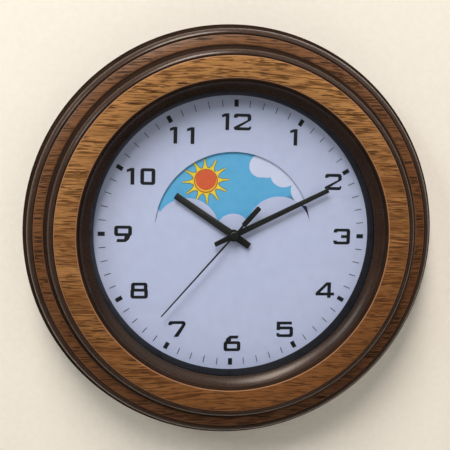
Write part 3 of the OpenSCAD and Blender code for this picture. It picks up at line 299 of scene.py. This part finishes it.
post_turns = [math.radians(60 * turn) for turn in range(6)]
post_places = [(post_ring * math.cos(turn), post_ring * math.sin(turn)) for turn in post_turns]
posts = settle(gathered(post, post_places), "rim_posts")
only(rim)
posts.select_set(True)
bpy.ops.object.join()
fit(rim, brown_plastic, "case", "brown_plastic", "rim")
rim.data.materials.append(lip_plastic_painted_shade)
rim.data.materials.append(cove_plastic_painted_shade)
lip_painted_shade_slot, cove_painted_shade_slot = 1, 2
lip_edge, crest_edge, lip_foot = 110.3, 112.25, 36
cove_inset, cove_head, cove_foot = 4.8, 6.4, 10.2
# The lip has a finish of its own, whose darker base is painted shade; its crest takes the coves'
# matt finish, also painted darker as shade.
for face in rim.data.polygons:
    middle = face.center / MM
    radius, height = math.hypot(middle.x, middle.z), -middle.y
    if radius < crest_edge and height > lip_foot:
        face.material_index = lip_painted_shade_slot if radius < lip_edge else cove_painted_shade_slot
    for edge, top in (inner_moulding, outer_moulding):
        if radius > edge + cove_inset and top - cove_foot < height < top - cove_head:
            face.material_index = cove_painted_shade_slot

# Wood bands: two thin rings with a printed and pressed oak grain, glued into the beds of the rim.
# Both are cut from sheet, so the grain runs level across the whole clock. Their edges are chamfered
# to the pale core.


def oak(name, light, middle, dark, pore, core, edges, seed):
    """Level oak grain between two radii: drifting tone, swaying growth lines, short dark pores, and
    painted light that falls off from the upper left to the lower right.
    """
    material, shader, place = finish(name)
    sway = place.noise((6, 6, 11), 1)
    lifted = place.node("ShaderNodeVectorMath", {"operation": "MULTIPLY_ADD"}, {
        0: sway, 1: (0, 0, 0.012), 2: place,
    })
    grain = lifted.node("ShaderNodeVectorMath", {"operation": "ADD"}, {
        0: lifted, 1: (seed, seed, seed),
    })
    drift = grain.noise((6, 6, 30), 2)
    zones = grain.noise((14, 14, 180), 3)
    fibre = grain.noise((90, 90, 1500), 2)
    lines = grain.noise((54, 54, 1000), 2)
    dashes = grain.noise((88, 88, 1280), 1)
    patches = grain.noise((24, 24, 120), 1)
    streaks = lines.within(0.5, 0.58) * (zones.within(0.36, 0.6) * 0.5 + 0.5)
    pores = dashes.within(0.56, 0.61) * (patches.within(0.32, 0.58) * 0.6 + 0.4)
    # Painted light: the oak is lighter towards the upper left and darker towards the lower right.
    across = place.node("ShaderNodeVectorMath", {"operation": "DOT_PRODUCT"}, {
        0: place, 1: (-0.3, 0, 0.95),
    }, 1)
    tone = across * 1.9 + drift * 0.5 + zones * 0.5 + fibre * 0.5
    base = tone.within(0.56, 1.06).tint(middle, light)
    face = (pores * 0.8).tint((streaks * 0.85).tint(base, dark), pore)
    flat = place.node("ShaderNodeVectorMath", {"operation": "MULTIPLY"}, {0: place, 1: (1, 0, 1)})
    radius = place.node("ShaderNodeVectorMath", {"operation": "LENGTH"}, {0: flat}, 1) * (1 / MM)
    centre_line, half_width, blur = sum(edges) / 2, (edges[1] - edges[0]) / 2, 0.05
    bare = abs(radius - centre_line).within(half_width - blur, half_width + blur)
    place.feed(shader, {
        "Base Color": (bare * 0.8).tint(face, core),
        "Roughness": pores * 0.15 + lines * 0.1 + 0.34,
        "Normal": (lines * 0.4 - pores).relief(0.04 * MM),
        "Specular IOR Level": 0.12,
    })
    return material


inner_edges, outer_edges = (113.1, 127.5), (137.2, 143.2)
inner_oak = oak("oak_inner", colour(177, 125, 74), colour(116, 73, 39), colour(80, 46, 21),
                colour(52, 30, 14), colour(160, 114, 82), inner_edges, seed=0.0)
outer_oak = oak("oak_outer", colour(116, 76, 46), colour(112, 70, 40), colour(50, 28, 13),
                colour(26, 14, 7), colour(112, 80, 60), outer_edges, seed=0.7)

inner_band = turned("inner_band", [
    (112.45, 44.4), (112.45, 44.5),
    (inner_edges[0], 44.9), (inner_edges[1], 44.9),
    (128.1, 44.5), (128.1, 44.4),
])
fit(inner_band, inner_oak, "case", "wood_grain", "inner_wood_band")
outer_band = turned("outer_band", [
    (136.5, 34.4), (136.5, 34.55),
    (outer_edges[0], 34.9), (outer_edges[1], 33.9),
    (143.85, 33.4), (143.85, 33.2),
])
fit(outer_band, outer_oak, "case", "wood_grain", "outer_wood_band")

# Lens: one round pane of clear flat glass, cut from sheet and ground at its edge. It lies in the
# seat behind the rim's lip, and the spacer holds it there.

clear_glass, glass_shader, glass_place = finish("lens_glass")
glass_nodes = clear_glass.node_tree.nodes
glass_nodes.remove(glass_shader)
mirror = glass_place.node("ShaderNodeBsdfGlossy", {}, {"Color": (1, 1, 1, 1), "Roughness": 0.03})
see_through = glass_place.node("ShaderNodeBsdfTransparent", {}, {"Color": (0.985, 0.99, 0.99, 1)})
from_inside = glass_place.node("ShaderNodeNewGeometry", {}, {}, "Backfacing")
shine = glass_place.node("ShaderNodeFresnel", {}, {"IOR": 1.4})
pane = glass_place.node("ShaderNodeMixShader", {}, {
    0: shine * (1 - from_inside), 1: see_through, 2: mirror,
})
glass_place.feed(glass_nodes["Material Output"], {"Surface": pane})

lens_radius, lens_back, lens_front, ground_edge = 107.5, 34.4, 36.4, 0.3
lens = turned("lens_pane", [
    (0, lens_back), (lens_radius, lens_back, ground_edge),
    (lens_radius, lens_front, ground_edge), (0, lens_front),
], closed=False)
fit(lens, clear_glass, "case", "lens_glass", "lens")

# Spacer: a black moulded ring with a sloped face, which holds the lens off the dial. It is not
# fixed: the back plate presses the dial, the spacer and the lens together against the rim's lip.

black_plastic = moulded("black_plastic", colour(7, 7, 9), colour(13, 13, 16), 0.3, 0.008, 0.14)
dial_front = 25.5
spacer = turned("lens_spacer", [
    (102.6, dial_front), (lens_radius, dial_front), (lens_radius, lens_back),
    (104.3, lens_back, 0.2), (102.05, 26.1, 0.15), (102.6, 25.9),
])
fit(spacer, black_plastic, "case", "black_plastic", "spacer_ring")

# Dial: a white card on a stiff sheet, with a window cut in the shape of clouds. Marks and numerals
# are printed on it in black.


def dress(material, *names):
    """Gives solids of the frame a finish, and leaves their shape alone."""
    for name in names:
        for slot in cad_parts[name].material_slots:
            slot.material = material


def printed(name, dark, light, roughness=0.5):
    """Ink or paint on card: slight mottle, and the card's tooth under it."""
    material, shader, place = finish(name)
    mottle = place.noise((120, 120, 120), 4)
    tooth = place.noise((2600, 2600, 2600), 1)
    place.feed(shader, {
        "Base Color": (mottle * 0.7 + tooth * 0.3).within(0.3, 0.7).tint(dark, light),
        "Roughness": tooth * 0.1 + (roughness - 0.05),
        "Normal": tooth.relief(0.006 * MM),
    })
    return material


dress(printed("dial_white", colour(189, 194, 222), colour(195, 200, 228)), "dial")
black_ink = printed("print_black", colour(14, 15, 18), colour(22, 23, 27))
dress(black_ink, "hour_marks", "minute_marks", "numerals")

# Day and night disc: a thin white disc that turns once a day behind the window, held by a collar on
# the outermost of the movement's tubes. Sky, clouds, sun, moon and stars are printed on it.

dress(printed("disc_white", colour(202, 205, 226), colour(208, 211, 230)), "day_night_disc")
dress(printed("print_navy", colour(40, 45, 84), colour(48, 54, 96)), "disc_night_sky")
dress(printed("print_cloud", colour(206, 210, 234), colour(212, 216, 240)), "disc_clouds")
yellow_ink = (colour(232, 198, 34), colour(240, 210, 48))
dress(printed("print_yellow", *yellow_ink), "disc_moon", "disc_stars")

sun_turn, sun_ring = -27.9, 44.9
day_side = (math.sin(math.radians(sun_turn)), 0, math.cos(math.radians(sun_turn)))
sun_place = [sun_ring * MM * share for share in day_side]


def ink(name, base):
    """A printed finish whose colour is worked out from the place on the piece."""
    material, shader, place = finish(name)
    mottle = place.noise((160, 160, 160), 4).within(0.2, 0.8)
    tooth = place.noise((2600, 2600, 2600), 1)
    place.feed(shader, {
        "Base Color": (mottle * 0.04).tint(base(place), colour(255, 255, 255)),
        "Roughness": tooth * 0.1 + 0.45,
        "Normal": tooth.relief(0.006 * MM),
    })
    return material


def sky_colour(place):
    """Sky blue that darkens to dusk along the night half."""
    into_day = place.node("ShaderNodeVectorMath", {"operation": "DOT_PRODUCT"}, {
        0: place, 1: day_side,
    }, 1)
    return into_day.within(1 * MM, 9 * MM).tint(colour(40, 46, 84), colour(88, 172, 217))


def from_sun(place, lift=0.0):
    """The flat way from the sun's middle, or from a point above it, and its millimetres."""
    middle = [sun_place[0], 0, sun_place[2] + lift * MM]
    off = place.node("ShaderNodeVectorMath", {"operation": "SUBTRACT"}, {0: place, 1: middle})
    flat = off.node("ShaderNodeVectorMath", {"operation": "MULTIPLY"}, {0: off, 1: (1, 0, 1)})
    far = flat.node("ShaderNodeVectorMath", {"operation": "LENGTH"}, {0: flat}, 1)
    return flat, far * (1 / MM)


def ray_colour(place):
    """Yellow rays with a thin olive outline along their sides, their valleys and their tips."""
    flat, far = from_sun(place)
    parts = [flat.node("ShaderNodeSeparateXYZ", {}, {"Vector": flat}, axis) for axis in ("X", "Z")]
    angle = flat.maths("ARCTAN2", *parts)
    ray_turn, half_pitch = math.radians(4.4), math.radians(15)
    off_axis = angle.maths("PINGPONG", angle + ray_turn, half_pitch)
    aside = far * off_axis.maths("SINE", off_axis)
    half_width = (1 - far.within(9.6, 12.5)) + (1 - far.within(12, 16.4)) * 0.25 + 0.82
    edge = (aside - half_width).within(-0.55, -0.3) * far.within(9.4, 9.6)
    border = edge.maths("MAXIMUM", edge, far.within(16.7, 16.95))
    return border.tint(yellow_ink[1], colour(126, 104, 28))


def face_colour(place):
    """An orange face with a dark outline, and a yellow crescent along its lower edge."""
    far = from_sun(place)[1]
    inner = from_sun(place, lift=0.9)[1]
    crescent = inner.within(7.5, 7.8) * (1 - far.within(7.85, 8.05))
    line = far.within(8.2, 8.4)
    orange = crescent.tint(colour(216, 86, 34), colour(236, 190, 44))
    return line.tint(orange, colour(168, 84, 30))


dress(ink("print_sky", sky_colour), "disc_day_sky")
dress(ink("print_sun_rays", ray_colour), "disc_sun_rays")
dress(ink("print_sun_face", face_colour), "disc_sun_face")
white_plastic = moulded("white_plastic", colour(214, 213, 206), colour(228, 227, 220), 0.4, 0.02)
dress(white_plastic, "disc_collar")

# Hands: punched from thin sheet and painted black, each with a turned hub in its hole that is
# pressed on to its tube. The second hand has a needle, a flat counterweight and a small cap.

hand_black, hand_shader, hand_place = finish("hand_black")
hand_paint = hand_place.noise((900, 900, 900), 3)
hand_place.feed(hand_shader, {
    "Base Color": hand_paint.within(0.3, 0.7).tint(colour(20, 20, 14), colour(30, 30, 22)),
    "Roughness": hand_paint * 0.2 + 0.32,
    "Normal": hand_paint.relief(0.01 * MM),
})


def blade(rows, back, front):
    """A flat strip along 12 o'clock through rows of height and width, in millimetres."""
    height, width = rows[0]
    bpy.ops.object.select_all(action="DESELECT")
    bpy.ops.mesh.primitive_plane_add(size=MM, location=(0, -back * MM, height * MM))
    strip = bpy.context.object
    bpy.ops.object.mode_set(mode="EDIT")
    bpy.ops.mesh.merge(type="CENTER")
    bpy.ops.transform.translate(value=(-width / 2 * MM, 0, 0))
    bpy.ops.mesh.extrude_vertices_move(TRANSFORM_OT_translate={"value": (width * MM, 0, 0)})
    bpy.ops.mesh.select_all(action="SELECT")
    for (low, wide), (high, narrow) in zip(rows, rows[1:]):
        bpy.ops.mesh.extrude_edges_move(TRANSFORM_OT_translate={"value": (0, 0, (high - low) * MM)})
        bpy.ops.transform.resize(value=(narrow / wide, 1, 1), center_override=(0, 0, 0))
    bpy.ops.mesh.select_all(action="SELECT")
    bpy.ops.mesh.extrude_region_move(TRANSFORM_OT_translate={"value": (0, (back - front) * MM, 0)})
    bpy.ops.mesh.select_all(action="SELECT")
    bpy.ops.mesh.normals_make_consistent(inside=False)
    bpy.ops.object.mode_set(mode="OBJECT")
    only(strip)
    bpy.ops.object.transform_apply(location=True, rotation=True, scale=True)
    return strip


def use(piece, kind, **settings):
    """Adds a modifier to a piece and applies it."""
    only(piece)
    modifier = piece.modifiers.new(kind.lower(), kind)
    for name, value in settings.items():
        setattr(modifier, name, value)
    bpy.ops.object.modifier_apply(modifier=modifier.name)


def combine(piece, operation, other):
    """Joins another solid to a piece, or cuts it out of the piece."""
    use(piece, "BOOLEAN", operation=operation, object=other, solver="EXACT")
    bpy.data.objects.remove(other)


def bevelled(piece, width, sharp):
    """Rounds edges that turn by more than so many degrees, by that many millimetres."""
    use(piece, "BEVEL", width=width * MM, segments=2, limit_method="ANGLE",
        angle_limit=math.radians(sharp))


def hand(name, rows, back, front, hole, hub, angle, body, node):
    """A hand's punched strip with its turned hub, set at its angle clockwise from 12."""
    piece = blade(rows, back, front)
    below, above = back - 1, front + 1
    punch = [(0, below), (hole, below), (hole, above), (0, above)]
    on_axis = hub[0][0] == 0
    combine(piece, "DIFFERENCE", turned(name + "_hole", punch, closed=False, steps=48))
    combine(piece, "UNION", turned(name + "_hub", hub, closed=not on_axis, steps=80))
    bevelled(piece, width=0.04, sharp=50)
    piece.rotation_euler = (0, math.radians(angle), 0)
    fit(settle(piece, name), hand_black, body, "hand_black", node)


hand(
    "hour_blade", [(-14.5, 4.8), (0, 5.6), (52, 4.8)], back=27.3, front=27.8, hole=2.8,
    hub=[(2.55, 26.7), (3, 26.7), (3, 27), (4.4, 27), (4.4, 27.9), (2.55, 27.9)],
    angle=303.7, body="hours", node="hour_hand",
)
hand(
    "minute_blade", [(-15.6, 3.3), (0, 4.4), (78, 3.3)], back=29.1, front=29.6, hole=1.85,
    hub=[(1.6, 28.5), (2.05, 28.5), (2.05, 28.8), (4.4, 28.8), (4.4, 29.7), (1.6, 29.7)],
    angle=63.7, body="minutes", node="minute_hand",
)
counterweight = [(-28, 2.5), (-27.7, 3.3), (-27, 3.9), (-11, 3.9), (-10.3, 3.3), (-10, 1.6)]
needle = [(0, 1.6), (0.4, 1.3), (80, 1)]
hand(
    "second_needle", counterweight + needle, back=30.9, front=31.2, hole=1,
    hub=[(0, 32), (0.5, 32), (0.5, 30.8), (3.08, 30.8), (3.08, 32.1), (2.6, 32.5), (0, 32.5)],
    angle=221, body="seconds", node="second_hand",
)

# Back plate: a grey moulded disc with a deep round well for the movement, screwed to the rim's
# posts. A pressed steel plate with a keyhole hangs the clock, on two short screws. All eight screws
# have pan heads.

grey_plastic = moulded("grey_plastic", colour(62, 62, 64), colour(78, 78, 80), 0.5, 0.06)


def metal(name, dark, light, roughness):
    """Plain metal with fine rolling lines and a slight stain."""
    material, shader, place = finish(name)
    lines = place.noise((180, 180, 2600), 2)
    stain = place.noise((160, 160, 160), 4)
    place.feed(shader, {
        "Base Color": (stain * 0.6 + lines * 0.4).within(0.3, 0.7).tint(dark, light),
        "Metallic": 1.0,
        "Roughness": lines * 0.2 + stain * 0.1 + (roughness - 0.15),
        "Normal": lines.relief(0.01 * MM),
    })
    return material


steel = metal("steel", colour(160, 161, 163), colour(196, 197, 198), 0.35)
FLAT_BELOW = math.radians(0.5)


def recut(node, name, edge):
    """A copy of a solid with whole faces again, its edges softened by that many millimetres."""
    piece = bpy.data.objects.new(name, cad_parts[node].data.copy())
    bpy.context.scene.collection.objects.link(piece)
    only(piece)
    bpy.ops.object.mode_set(mode="EDIT")
    bpy.ops.mesh.select_all(action="SELECT")
    bpy.ops.mesh.remove_doubles(threshold=WELD)
    bpy.ops.mesh.dissolve_limited(angle_limit=FLAT_BELOW)
    bpy.ops.object.mode_set(mode="OBJECT")
    bevelled(piece, width=edge, sharp=40)
    use(settle(piece, name), "WEIGHTED_NORMAL", keep_sharp=True)
    return piece


def screws(name, places, under, length, node):
    """Pan-head screws with crossed slots, at places of x and z, their heads lying on one height."""
    head, shank, top, tip = 3, 1.4, under - 1, under + length
    slot_size = (3.4, 1.2, 0.6)
    screw = turned(name, [
        (0, top), (1.6, top), (2.5, under - 0.85, 0.3), (head, under - 0.3, 0.3), (head, under),
        (shank, under), (shank, tip - 1.5), (0, tip),
    ], closed=False, steps=36)
    for turn in (30, 120):
        bpy.ops.object.select_all(action="DESELECT")
        bpy.ops.mesh.primitive_cube_add(size=MM, location=(0, -top * MM, 0))
        slot = bpy.context.object
        slot.scale = slot_size
        slot.rotation_euler = (0, math.radians(turn), 0)
        combine(screw, "DIFFERENCE", slot)
    fit(settle(gathered(screw, places), name), steel, "case", "steel", node)


fit(recut("back_plate", "rear_plate", 0.5), grey_plastic, "case", "grey_plastic", "back_plate")
fit(recut("hanger_plate", "keyhole_plate", 0.25), steel, "case", "steel", "hanger_plate")
screws("plate_screws", post_places, under=2.5, length=10, node="back_screws")
screws("keyhole_screws", [(-17, 122), (17, 122)], under=1.3, length=8, node="hanger_screws")

# Movement: a quartz works in a white moulded case of two shells, held to the well's floor by its
# brass bush, a nut and a rubber washer. Wheels and pinions run between the shells and a middle
# plate.

brass = metal("brass", colour(176, 140, 78), colour(208, 174, 104), 0.32)
copper = metal("copper", colour(168, 92, 52), colour(196, 116, 70), 0.35)

dress(white_plastic, "movement_front_case")
dress(grey_plastic, "middle_plate")
fit(recut("movement_back_cover", "works_cover", 0.3), white_plastic, "case", "white_plastic",
    "movement_back_cover")
dress(brass, "centre_bush", "bush_nut")
dress(moulded("rubber", colour(22, 22, 22), colour(32, 32, 32), 0.75, 0.04), "rubber_washer")
dress(moulded("board", colour(28, 82, 52), colour(38, 100, 64), 0.4, 0.02), "circuit_board")
dress(black_plastic, "timing_chip")
dress(steel, "quartz_crystal", "coil_core", "stator", "positive_contact", "negative_contact",
      "clutch_spring")
dress(white_plastic, "coil_bobbin", "rotor_pinion", "intermediate_wheel", "second_wheel",
      "third_wheel", "minute_wheel", "hour_wheel", "day_wheel", "setting_pinion")
dress(brass, "centre_wheel", "cannon_pinion")
dress(copper, "coil_winding")
dress(metal("magnet", colour(70, 70, 72), colour(88, 88, 90), 0.4), "rotor_magnet")

# Setting knob: a small black moulded wheel with a notched edge and a dished back, pressed on to the
# setting pinion. A finger turns it to set the hands.

knob_radius, knob_depth, knob_points = 6, 2.4, 96
notch_every, notch_share = 4, 0.93
dish_inset, dish_depth, dish_share = 1.5, 0.6, 0.9
pinion_aside, knob_height = 18, 2.4
knob_centre = (pinion_aside * MM, -knob_height * MM, 0)
bpy.ops.object.select_all(action="DESELECT")
bpy.ops.mesh.primitive_cylinder_add(
    vertices=knob_points, radius=knob_radius * MM, depth=knob_depth * MM,
    location=knob_centre, rotation=end_on,
)
knob = bpy.context.object
bpy.ops.object.transform_apply(location=True, rotation=True, scale=True)
bpy.ops.object.mode_set(mode="EDIT")
bpy.ops.mesh.select_all(action="DESELECT")
bpy.ops.object.mode_set(mode="OBJECT")
for vertex in knob.data.vertices:
    turn = math.atan2(vertex.co.z, vertex.co.x - knob_centre[0])
    vertex.select = round(math.degrees(turn) / (360 / knob_points)) % notch_every == 0
bpy.ops.object.mode_set(mode="EDIT")
bpy.ops.transform.resize(value=(notch_share, 1, notch_share), center_override=knob_centre)
bpy.ops.mesh.select_mode(type="FACE")
bpy.ops.mesh.select_all(action="DESELECT")
bpy.ops.object.mode_set(mode="OBJECT")
for face in knob.data.polygons:
    face.select = face.normal.y > 0.9
bpy.ops.object.mode_set(mode="EDIT")
bpy.ops.mesh.inset(thickness=dish_inset * MM)
bpy.ops.mesh.extrude_region_move(TRANSFORM_OT_translate={"value": (0, -dish_depth * MM, 0)})
bpy.ops.transform.resize(value=(dish_share, 1, dish_share), center_override=knob_centre)
bpy.ops.mesh.select_mode(type="VERT")
bpy.ops.object.mode_set(mode="OBJECT")
bevelled(knob, width=0.12, sharp=50)
fit(settle(knob, "notched_knob"), black_plastic, "setting", "black_plastic", "setting_knob")

# Battery: one AA cell, a drawn steel can in a plain green printed sleeve, with a flat end and a
# button. It lies level in the cover's bay, between two contact springs.

can_radius, half_length, front_edge, back_edge = 7.1, 25.25, 23.2, 24.4
collar_edge, fade = 16.9, 0.2
sleeve, sleeve_shader, sleeve_place = finish("battery_sleeve")
print_tone = sleeve_place.noise((300, 300, 300), 3)
along = sleeve_place.node("ShaderNodeSeparateXYZ", {}, {"Vector": sleeve_place}, "X") * (1 / MM)
bare_front = along.within(front_edge, front_edge + fade)
bare = bare_front + (along * -1).within(back_edge, back_edge + fade)
collar = along.within(collar_edge, collar_edge + fade)
green = print_tone.within(0.3, 0.7).tint(colour(38, 96, 62), colour(48, 112, 74))
sleeve_place.feed(sleeve_shader, {
    "Base Color": bare.tint(collar.tint(green, colour(176, 142, 84)), colour(188, 189, 190)),
    "Metallic": bare,
    "Roughness": print_tone * 0.12 + 0.24,
    "Normal": print_tone.relief(0.01 * MM),
})
battery = turned("aa_cell", [
    (0, -half_length), (6.1, -half_length, 0.25), (6.1, -24.9), (6.6, -24.9),
    (can_radius, -back_edge, 0.3), (can_radius, front_edge, 0.6), (6.3, 23.7, 0.2),
    (3.4, 23.75), (2.75, 23.9), (2.75, half_length, 0.3), (0, half_length),
], closed=False, steps=72)
bay_height, bay_below = 8.35, 19.2
battery.rotation_euler = (0, 0, math.radians(90))
battery.location = (0, -bay_height * MM, -bay_below * MM)
fit(settle(battery, "aa_cell"), sleeve, "battery", "battery_sleeve", "battery")

# Studio: the clock hangs on a plain warm white wall over a pale floor. A large soft lamp stands
# high on the left, with others at the far left, on the right and behind, and a faint light comes
# from all round. From behind, the wall is clear, so that the clock's back can be seen.

wall_paint, wall_shader, wall_place = finish("wall_paint")
roller = wall_place.noise((240, 240, 240), 3)
wall_place.feed(wall_shader, {
    "Base Color": roller.within(0.3, 0.7).tint(colour(240, 229, 214), colour(243, 232, 218)),
    "Roughness": 0.8,
    "Normal": roller.relief(0.05 * MM),
})
behind = wall_place.node("ShaderNodeNewGeometry", {}, {}, "Backfacing")
open_back = wall_place.node("ShaderNodeBsdfTransparent", {}, {})
wall_place.feed(wall_paint.node_tree.nodes["Material Output"], {
    "Surface": wall_place.node("ShaderNodeMixShader", {}, {
        0: behind, 1: Wire(wall_shader.outputs["BSDF"]), 2: open_back,
    }),
})
bpy.ops.object.select_all(action="DESELECT")
wall_gap, wall_middle = 0.0006, 1.3
bpy.ops.mesh.primitive_plane_add(
    size=5, location=(0, wall_gap, wall_middle), rotation=(math.radians(90), 0, 0),
)
wall = settle(bpy.context.object, "studio_wall")
wall.data.materials.append(wall_paint)
# The lamp behind shines through the wall.
wall.visible_shadow = False

floor_height = -1.2
bpy.ops.mesh.primitive_plane_add(size=8, location=(0, 0, floor_height))
floor = settle(bpy.context.object, "studio_floor")
floor_pale = printed("floor_pale", colour(224, 221, 216), colour(229, 226, 221), roughness=0.7)
floor.data.materials.append(floor_pale)
floor.visible_glossy = False


def soft_lamp(name, place, size, power, tone):
    """An oval soft lamp of a width and a height, at a place in metres, pointed at the clock."""
    data = bpy.data.lights.new(name, "AREA")
    data.shape = "ELLIPSE"
    data.size, data.size_y = size
    data.energy = power
    data.color = tone
    lamp = bpy.data.objects.new(name, data)
    bpy.context.scene.collection.objects.link(lamp)
    lamp.location = place
    lamp.rotation_euler = (-Vector(place)).to_track_quat("-Z", "Y").to_euler()
    return data


soft_lamp("key_lamp", (-0.42, -1.27, 2.0), (0.8, 1.7), power=66, tone=(1, 0.975, 0.94))
soft_lamp("window_lamp", (-1.5, -1.15, 1.05), (0.6, 0.6), power=12, tone=(0.8, 0.92, 1))
fill = soft_lamp("fill_lamp", (1.4, -1.3, 1.5), (2.4, 2.4), power=13, tone=(0.88, 0.95, 1))
fill.specular_factor = 0.3
soft_lamp("back_lamp", (0.9, 1.9, 1.3), (1.4, 1.4), power=60, tone=(1, 1, 1))

world = bpy.data.worlds.new("studio")
bpy.context.scene.world = world
world.use_nodes = True
seen_glow, cast_glow = 0.8, 0.075
seen = Wire(world.node_tree.nodes.new("ShaderNodeLightPath").outputs["Is Camera Ray"])
seen.feed(world.node_tree.nodes["Background"], {
    "Color": (0.82, 0.93, 1, 1), "Strength": seen * seen_glow + cast_glow,
})

camera_data = bpy.data.cameras.new("camera")
camera_data.sensor_width = 36
camera_data.lens = 54.64
camera = bpy.data.objects.new("camera", camera_data)
bpy.context.scene.collection.objects.link(camera)
camera.location = (-0.0637, -0.5237, 0.0642)
camera.rotation_euler = [math.radians(a) for a in (83.5374, -1.3657, -6.4171)]
bpy.context.scene.camera = camera
bpy.context.scene.view_settings.view_transform = "Standard"
